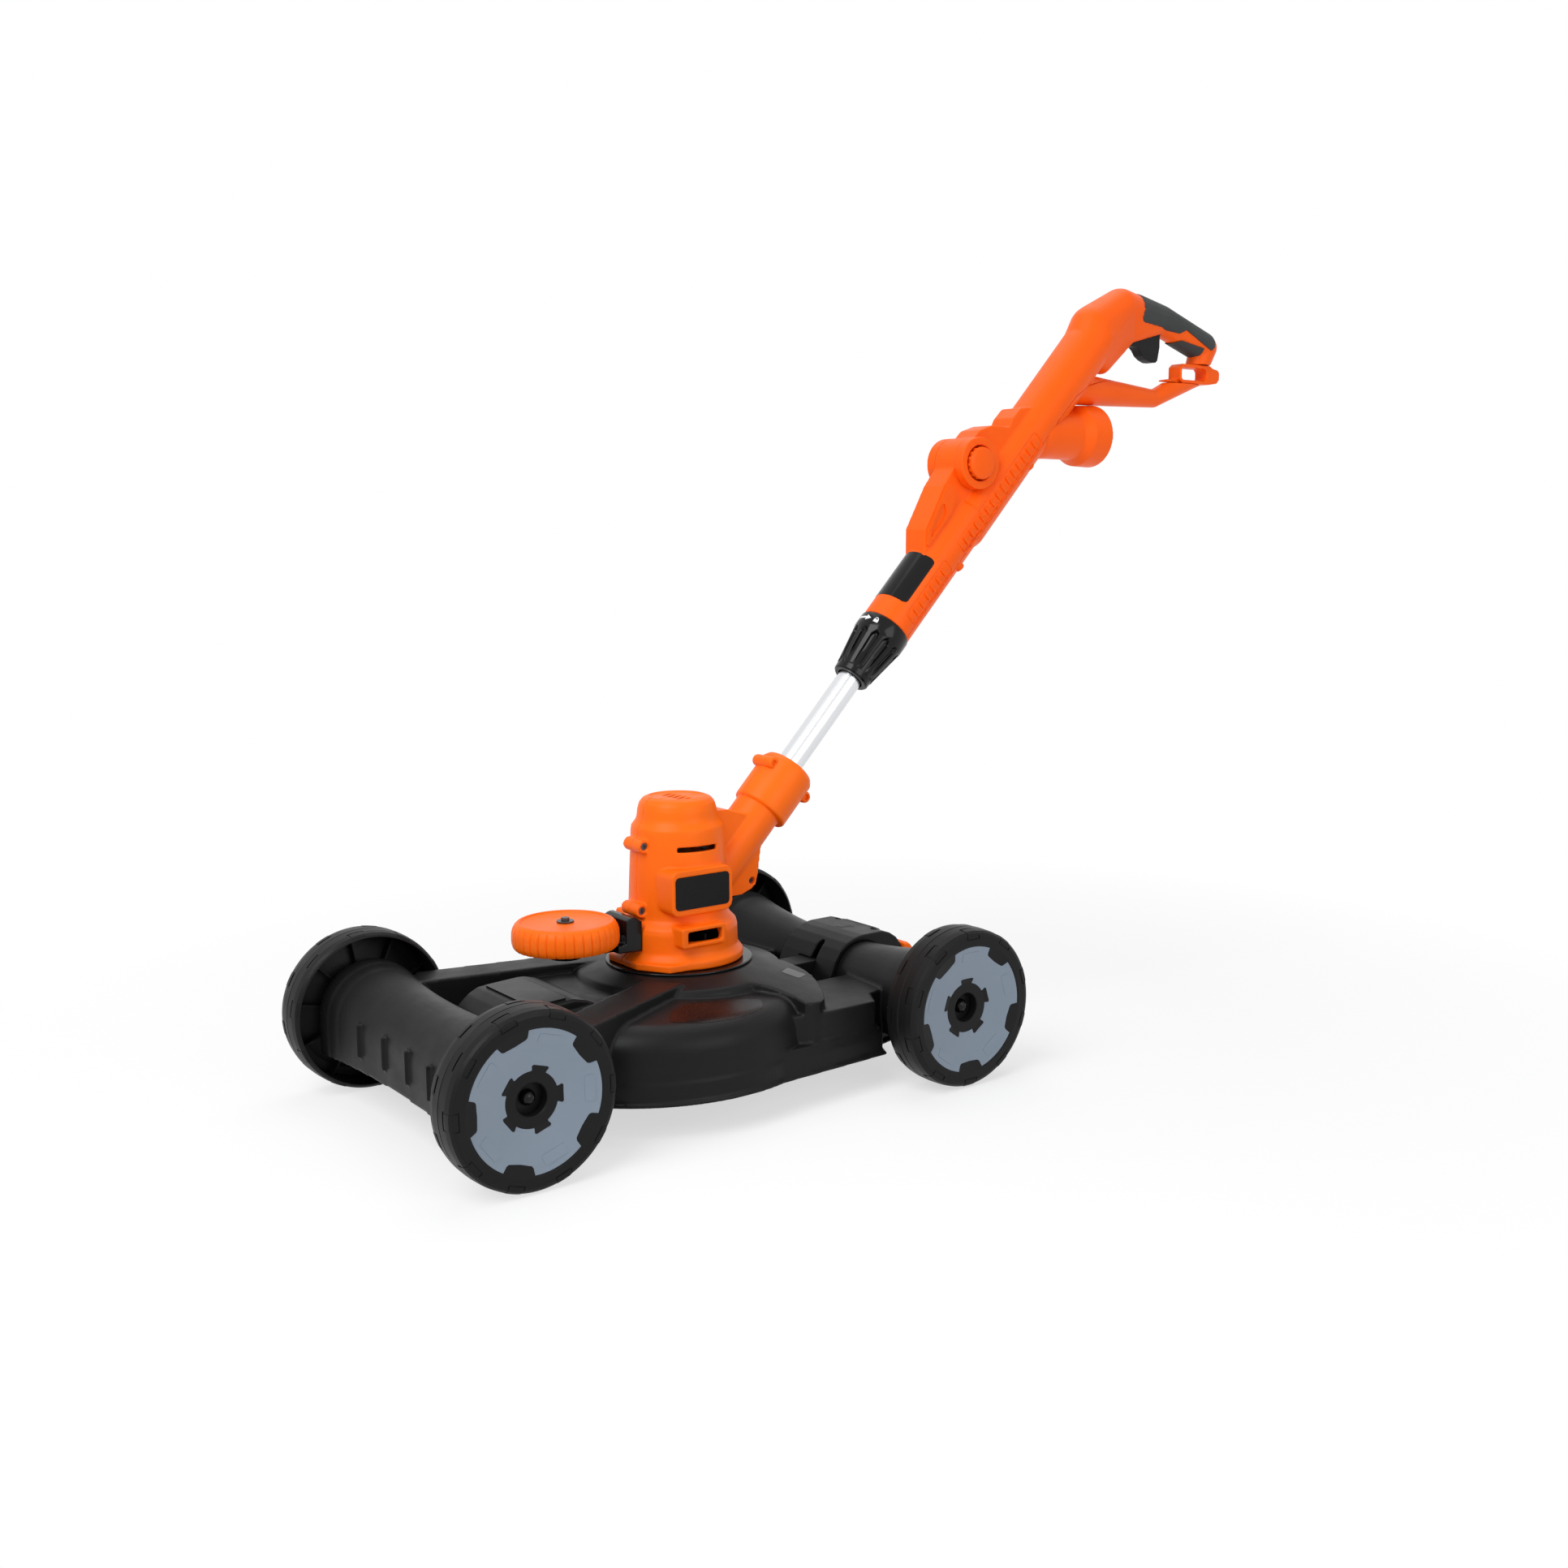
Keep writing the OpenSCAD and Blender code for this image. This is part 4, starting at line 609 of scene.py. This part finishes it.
def grown(obj, tree, place, given):
    """Runs a node tree on an object with the given inputs, keeps the plain mesh and moves it by place."""
    work = obj.modifiers.new("tree", "NODES")
    work.node_group = tree
    for socket in tree.interface.items_tree:
        if socket.in_out == "INPUT" and socket.name in given:
            work[socket.identifier] = given[socket.name]
    settle(obj)
    obj.data.transform(place)
    obj.data.update()
    return obj


# Grip marks on the barrel

def bar_row_tree():
    """Row of raised bars: their length on x, the row along y and their height on z."""
    corner_points, weld_gap = 4, 0.000001
    tree = new_tree("row_of_bars", (
        ("Count", "Int"), ("Pitch", "Float"), ("Length", "Float"), ("Width", "Float"), ("Height", "Float"),
        ("Corner", "Float"), ("Finish", "Material")))
    add = tree.nodes.new
    link = tree.links.new
    given = add("NodeGroupInput")
    step = add("ShaderNodeCombineXYZ")
    line = add("GeometryNodeMeshLine")
    bar = add("GeometryNodeCurvePrimitiveQuadrilateral")
    rounded = add("GeometryNodeFilletCurve")
    filled = add("GeometryNodeFillCurve")
    raised = add("GeometryNodeExtrudeMesh")
    under = add("GeometryNodeFlipFaces")
    both = add("GeometryNodeJoinGeometry")
    welded = add("GeometryNodeMergeByDistance")
    copies = add("GeometryNodeInstanceOnPoints")
    rounded.mode = "POLY"
    rounded.inputs["Count"].default_value = corner_points
    filled.mode = "NGONS"
    raised.inputs["Individual"].default_value = False
    welded.inputs["Distance"].default_value = weld_gap
    link(given.outputs["Pitch"], step.inputs["Y"])
    link(given.outputs["Count"], line.inputs["Count"])
    link(step.outputs["Vector"], line.inputs["Offset"])
    link(given.outputs["Length"], bar.inputs["Width"])
    link(given.outputs["Width"], bar.inputs["Height"])
    link(bar.outputs["Curve"], rounded.inputs["Curve"])
    link(given.outputs["Corner"], rounded.inputs["Radius"])
    link(rounded.outputs["Curve"], filled.inputs["Curve"])
    link(filled.outputs["Mesh"], raised.inputs["Mesh"])
    link(given.outputs["Height"], raised.inputs["Offset Scale"])
    link(filled.outputs["Mesh"], under.inputs["Mesh"])
    link(raised.outputs["Mesh"], both.inputs["Geometry"])
    link(under.outputs["Mesh"], both.inputs["Geometry"])
    link(both.outputs["Geometry"], welded.inputs["Geometry"])
    link(line.outputs["Mesh"], copies.inputs["Points"])
    link(welded.outputs["Geometry"], copies.inputs["Instance"])
    end_tree(tree, given, copies)
    return tree


def side_frame(side):
    """Axes on one side of the barrel: bars across, the row along the pole and their height outwards."""
    turn = Matrix(((0, 0, 1, 0), (1, 0, 0, 0), (0, 1, 0, 0), (0, 0, 0, 1)))
    return turn if side > 0 else Matrix.Rotation(math.pi, 4, "Z") @ turn


def panel_ring(name, side, centre, radius, v_range, w_range):
    """Thin raised outline with round corners on the side of the barrel."""
    corner, corner_steps, longest_step = 0.004, 8, 0.004
    section = ((-0.0008, -0.0006), (-0.0005, 0.0006), (0.0005, 0.0006), (0.0008, -0.0006))
    v_low, v_high = v_range[0] + corner, v_range[1] - corner
    w_low, w_high = w_range[0] + corner, w_range[1] - corner
    path = []
    for cv, cw, first in ((v_high, w_high, 0), (v_low, w_high, 90), (v_low, w_low, 180),
                          (v_high, w_low, 270)):
        for i in range(corner_steps + 1):
            a = math.radians(first + 90 * i / corner_steps)
            path.append((cv + corner * math.cos(a), cw + corner * math.sin(a), math.cos(a), math.sin(a)))
    fine = []
    for (v, w, nv, nw), (v2, w2, _, _) in zip(path, path[1:] + path[:1]):
        parts = max(1, int(math.hypot(v2 - v, w2 - w) / longest_step))
        for i in range(parts):
            t = i / parts
            fine.append((v + (v2 - v) * t, w + (w2 - w) * t, nv, nw))
    work = bmesh.new()
    rings = []
    for v, w, nv, nw in fine:
        ring = []
        for off, lift in section:
            vv, ww, r = v + nv * off, w + nw * off, radius + lift
            x = side * math.sqrt(max(0.0, r * r - (vv - centre) ** 2))
            ring.append(work.verts.new(on_pole(x, vv, ww)))
        rings.append(ring)
    for a, b in zip(rings, rings[1:] + rings[:1]):
        for i in range(4):
            k = (i + 1) % 4
            work.faces.new((a[i], a[k], b[k], b[i]))
    return add_object(name, closed_mesh(work, name))


def grip_marks():
    """Two outlined panels of bars on each side of the barrel."""
    tree = bar_row_tree()
    bars = {"Pitch": 0.0108, "Length": 0.0100, "Width": 0.0034, "Height": 0.0020, "Corner": 0.0012,
            "Finish": painted_shade_orange}
    sunk, middle_v, v_range = 0.0007, 0.0010, (-0.0080, 0.0104)
    panels = ((0.0, 0.0270, (0.195, 0.271), 0.2055, 6), (0.0028, 0.0275, (0.2955, 0.456), 0.3045, 14))
    parts = []
    for side in (1, -1):
        for centre, radius, w_range, first, count in panels:
            corner = Matrix.Translation((side * (radius - sunk), middle_v, first))
            row = add_object("bars", bpy.data.meshes.new("bars"))
            parts.append(grown(row, tree, pole_frame @ corner @ side_frame(side), {"Count": count, **bars}))
            parts.append(panel_ring("outline", side, centre, radius, v_range, w_range))
    dress(joined("barrel_grip_marks", parts), painted_shade_orange, "handle", "orange")


def fin_frame():
    """Raised plate with a slanted window on each face of the fin."""
    outer = [(-0.0262, 0.2705), (-0.0290, 0.2705), (-0.0382, 0.2830), (-0.0505, 0.3300), (-0.0500, 0.3385),
             (-0.0420, 0.3415), (-0.0330, 0.3350), (-0.0262, 0.3180)]
    window = [(-0.0300, 0.2805), (-0.0352, 0.2865), (-0.0425, 0.3120), (-0.0400, 0.3170), (-0.0318, 0.3120),
              (-0.0295, 0.3010)]
    root, face, chamfer = 0.0146, 0.0168, 0.0006
    parts = []
    for side in (1, -1):
        work = bmesh.new()
        levels = []
        for x, shrink in ((root, 0.0), (face, chamfer)):
            loops = []
            for line, sign in ((outer, 1.0), (window, -1.0)):
                cv = sum(p[0] for p in line) / len(line)
                cw = sum(p[1] for p in line) / len(line)
                loop = []
                for v, w in line:
                    reach = math.hypot(v - cv, w - cw)
                    loop.append(work.verts.new(on_pole(side * x, v - sign * shrink * (v - cv) / reach,
                                                       w - sign * shrink * (w - cw) / reach)))
                loops.append(loop)
            edges = []
            for loop in loops:
                edges += [work.edges.new(pair) for pair in zip(loop, loop[1:] + loop[:1])]
            bmesh.ops.triangle_fill(work, edges=edges, use_beauty=True)
            levels.append(loops)
        for low, high in zip(*levels):
            for i in range(len(low)):
                k = (i + 1) % len(low)
                work.faces.new((low[i], low[k], high[k], high[i]))
        parts.append(add_object("fin_plate", closed_mesh(work, "fin_plate")))
    dress(joined("fin_window_frames", parts), painted_shade_orange, "handle", "orange")


# Tabs let into the tread shoulders of the wheels

def wheel_ring_tree():
    """Copies of one tab set round the wheel's axis."""
    tree = new_tree("ring_of_tabs", (
        ("Count", "Int"), ("Step", "Float"), ("Phase", "Float"), ("Finish", "Material")))
    add = tree.nodes.new
    link = tree.links.new
    given = add("NodeGroupInput")
    points = add("GeometryNodePoints")
    index = add("GeometryNodeInputIndex")
    angle = add("ShaderNodeMath")
    turn = add("ShaderNodeCombineXYZ")
    copies = add("GeometryNodeInstanceOnPoints")
    angle.operation = "MULTIPLY_ADD"
    link(given.outputs["Count"], points.inputs["Count"])
    link(index.outputs["Index"], angle.inputs[0])
    link(given.outputs["Step"], angle.inputs[1])
    link(given.outputs["Phase"], angle.inputs[2])
    link(angle.outputs["Value"], turn.inputs["Z"])
    link(points.outputs[0], copies.inputs["Points"])
    link(given.outputs["Geometry"], copies.inputs["Instance"])
    link(turn.outputs["Vector"], copies.inputs["Rotation"])
    end_tree(tree, given, copies)
    return tree


def shoulder_tabs():
    """Ten tabs on the outer and ten on the inner shoulder of each wheel, with a narrow gap round them."""
    tree = wheel_ring_tree()
    radius, width, half, end, count = 0.0762, 0.039, 0.0066, 0.0004, 10
    step = 2 * math.pi / count
    outer = [(radius - 0.0078, 0.0020), (radius - 0.0078, 0.0001), (radius - 0.0058, 0.0001),
             (radius - 0.0030, 0.0008), (radius - 0.0011, 0.0031), (radius - 0.0002, 0.0085),
             (radius - 0.0002, 0.0098), (radius - 0.0026, 0.0098)]
    inner = [(radius - 0.0026, width - 0.0098), (radius - 0.0002, width - 0.0098),
             (radius - 0.0002, width - 0.0085), (radius - 0.0011, width - 0.0031),
             (radius - 0.0026, width - 0.0014), (radius - 0.0032, width - 0.0016)]
    across = (-half, -half + end, -half / 2, 0.0, half / 2, half - end, half)
    for name, side, spin in (("wheel_fr", 1, 17.0), ("wheel_fl", -1, 10.0), ("wheel_rr", 1, 0.4),
                             ("wheel_rl", -1, 28.0)):
        low, high = (Vector(q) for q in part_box(name))
        face = high.x if side > 0 else low.x
        place = Matrix(((0, 0, -side, face), (0, side, 0, (low.y + high.y) / 2), (1, 0, 0, radius),
                        (0, 0, 0, 1)))
        parts = []
        for outline, offset in ((outer, 0.0), (inner, 0.5)):
            rings = [[Vector((math.sqrt(r * r - y * y), y, z)) for r, z in outline] for y in across]
            phase = side * (math.radians(spin) + offset * step)
            parts.append(grown(turned("tab", rings, False, 24.0), tree, place,
                               {"Count": count, "Step": step, "Phase": phase, "Finish": wheel_black}))
        dress(joined(name + "_tabs", parts), wheel_black, body_of_node[name], "wheel_black")


# Bare panels that lie on the deck

def smooth_point(line, t):
    """Point at a share of the way along a smooth curve through points on plan."""
    t = t * (len(line) - 1)
    k = min(int(t), len(line) - 2)
    p = [Vector((*line[max(0, min(len(line) - 1, k + d))], 0.0)) for d in (-1, 0, 1, 2)]
    u = t - k
    return 0.5 * (2 * p[1] + (p[2] - p[0]) * u + (2 * p[0] - 5 * p[1] + 4 * p[2] - p[3]) * u * u
                  + (3 * p[1] - p[0] - 3 * p[2] + p[3]) * u ** 3)


def draped(name, near, far, material):
    """Thin bare panel between two lines on plan, let down on the deck, with its ends drawn in."""
    along, across, thickness, end_rows, end_inset, above_deck = 26, 12, 0.00022, 4.0, 0.16, 0.2
    deck = bpy.data.objects["deck_shell_moulding"].data
    corners = [v.co.copy() for v in deck.vertices]
    hull = BVHTree.FromPolygons(corners, [tuple(p.vertices) for p in deck.polygons])
    rows = []
    for i in range(along + 1):
        t = i / along
        edge = min(t, 1 - t) * along / end_rows
        inset = end_inset * (1 - math.sqrt(max(0.0, 1 - (1 - min(1.0, edge)) ** 2)))
        a, b = smooth_point(near, t), smooth_point(far, t)
        row = []
        for j in range(across + 1):
            p = a.lerp(b, inset + (1 - 2 * inset) * j / across)
            hit, normal, _, _ = hull.ray_cast(Vector((p.x, p.y, above_deck)), Vector((0, 0, -1)))
            row.append((hit, normal if normal.z > 0 else -normal))
        rows.append(row)
    dress(add_object(name, sheet_mesh(name, rows, thickness)), material, "deck", "trim_black")


def deck_panels():
    near = ((0.104, -0.300), (0.099, -0.272), (0.108, -0.240), (0.118, -0.212))
    far = ((0.126, -0.316), (0.141, -0.289), (0.145, -0.254), (0.138, -0.222))
    for name, side in (("shoulder_panel_right", 1), ("shoulder_panel_left", -1)):
        draped(name, [(side * x, y) for x, y in near], [(side * x, y) for x, y in far], panel_black)
    draped("platform_label", [(0.0820, -0.1600), (0.0900, -0.1555), (0.0980, -0.1510)],
           [(0.0720, -0.1450), (0.0810, -0.1405), (0.0900, -0.1360)], label_grey)


# Camera, floor and light

def aim_camera():
    """Camera at the photograph's place; the focal length is in pixels of its frame."""
    az, el, roll = math.radians(52.82), math.radians(8.82), math.radians(-0.25)
    place = (1.2878, -1.0704, 0.5236)
    focal_pixels, frame_pixels, sensor = 2018.08, 1932.0, 36.0
    back = Vector((math.sin(az) * math.cos(el), -math.cos(az) * math.cos(el), math.sin(el)))
    right = (-back).cross(Vector((0, 0, 1))).normalized()
    up = right.cross(-back)
    r = math.cos(roll) * right + math.sin(roll) * up
    u = -math.sin(roll) * right + math.cos(roll) * up
    data = bpy.data.cameras.new("camera")
    data.sensor_fit = "HORIZONTAL"
    data.sensor_width = sensor
    data.lens = sensor * focal_pixels / frame_pixels
    data.clip_end = 50.0
    cam = add_object("camera", data)
    cam.matrix_world = Matrix((
        (r.x, u.x, back.x, place[0]),
        (r.y, u.y, back.y, place[1]),
        (r.z, u.z, back.z, place[2]),
        (0, 0, 0, 1)))
    bpy.context.scene.camera = cam


def backdrop_rays(tree):
    """One for rays that look at the backdrop, straight or in a shiny or clear piece."""
    path = tree.nodes.new("ShaderNodeLightPath")
    total = path.outputs["Is Camera Ray"]
    for kind in ("Is Glossy Ray", "Is Transmission Ray"):
        plus = tree.nodes.new("ShaderNodeMath")
        plus.operation = "ADD"
        plus.use_clamp = True
        tree.links.new(total, plus.inputs[0])
        tree.links.new(path.outputs[kind], plus.inputs[1])
        total = plus.outputs["Value"]
    return total


def show_mix(tree, out_kind, share, plain, shown):
    """Ends a tree in a mix of two shaders."""
    pick = tree.nodes.new("ShaderNodeMixShader")
    out = tree.nodes.new(out_kind)
    tree.links.new(share, pick.inputs["Fac"])
    tree.links.new(plain, pick.inputs[1])
    tree.links.new(shown, pick.inputs[2])
    tree.links.new(pick.outputs["Shader"], out.inputs["Surface"])


def white_room():
    """White backdrop round the object, which lights it less than it shows."""
    world = bpy.data.worlds.new("studio")
    bpy.context.scene.world = world
    world.use_nodes = True
    tree = world.node_tree
    tree.nodes.clear()
    seen = tree.nodes.new("ShaderNodeBackground")
    seen.inputs["Color"].default_value = (1, 1, 1, 1)
    seen.inputs["Strength"].default_value = 1.0
    room = tree.nodes.new("ShaderNodeBackground")
    room.inputs["Color"].default_value = (0.95, 0.97, 1.0, 1)
    room.inputs["Strength"].default_value = 0.38
    show_mix(tree, "ShaderNodeOutputWorld", backdrop_rays(tree), room.outputs["Background"],
             seen.outputs["Background"])


def soft_lamps():
    for name, power, size, place, aim in (
            ("key", 46.0, 1.6, (0.6, -1.9, 2.1), (0.0, 0.0, 0.2)),
            ("side", 15.0, 1.4, (2.4, 0.2, 1.2), (0.0, 0.0, 0.3)),
            ("top", 22.0, 2.2, (-0.6, 0.5, 2.8), (0.0, 0.1, 0.2))):
        lamp = bpy.data.lights.new(name, "AREA")
        lamp.energy = power
        lamp.size = size
        obj = add_object(name, lamp)
        obj.location = place
        obj.rotation_euler = (Vector(aim) - Vector(place)).to_track_quat("-Z", "Y").to_euler()


def white_floor():
    """Pale floor that keeps the shadow near the object and runs out to the backdrop's white."""
    half, level, near, far, near_white = 14.0, -0.0004, 0.42, 0.95, 0.62
    mesh = bpy.data.meshes.new("floor")
    corners = [(x * half, y * half, level) for x, y in ((-1, -1), (1, -1), (1, 1), (-1, 1))]
    mesh.from_pydata(corners, [], [(0, 1, 2, 3)])
    floor = add_object("floor", mesh)
    mat = bpy.data.materials.new("white_floor")
    mat.use_nodes = True
    tree = mat.node_tree
    tree.nodes.clear()
    matt = tree.nodes.new("ShaderNodeBsdfDiffuse")
    matt.inputs["Color"].default_value = (0.92, 0.92, 0.92, 1)
    glow = tree.nodes.new("ShaderNodeEmission")
    glow.inputs["Strength"].default_value = 1.0
    coords = tree.nodes.new("ShaderNodeTexCoord")
    length = tree.nodes.new("ShaderNodeVectorMath")
    length.operation = "LENGTH"
    tree.links.new(coords.outputs["Object"], length.inputs[0])
    shown = tree.nodes.new("ShaderNodeMath")
    shown.operation = "MULTIPLY"
    tree.links.new(spread(tree, length.outputs["Value"], near_white, 1.0, near, far), shown.inputs[0])
    tree.links.new(backdrop_rays(tree), shown.inputs[1])
    show_mix(tree, "ShaderNodeOutputMaterial", shown.outputs["Value"], matt.outputs["BSDF"],
             glow.outputs["Emission"])
    mesh.materials.append(mat)


# The making, in order

mouldings()
barrel_label()
lock_sleeve()
lock_marks()
push_button()
button_coil()
edge_guide()
grip_marks()
neck_lugs()
shroud_heel()
screw_bosses()
slotted_pad()
fin_frame()
shoulder_tabs()
deck_panels()

bpy.context.scene.view_settings.view_transform = "Standard"
aim_camera()
white_room()
soft_lamps()
white_floor()
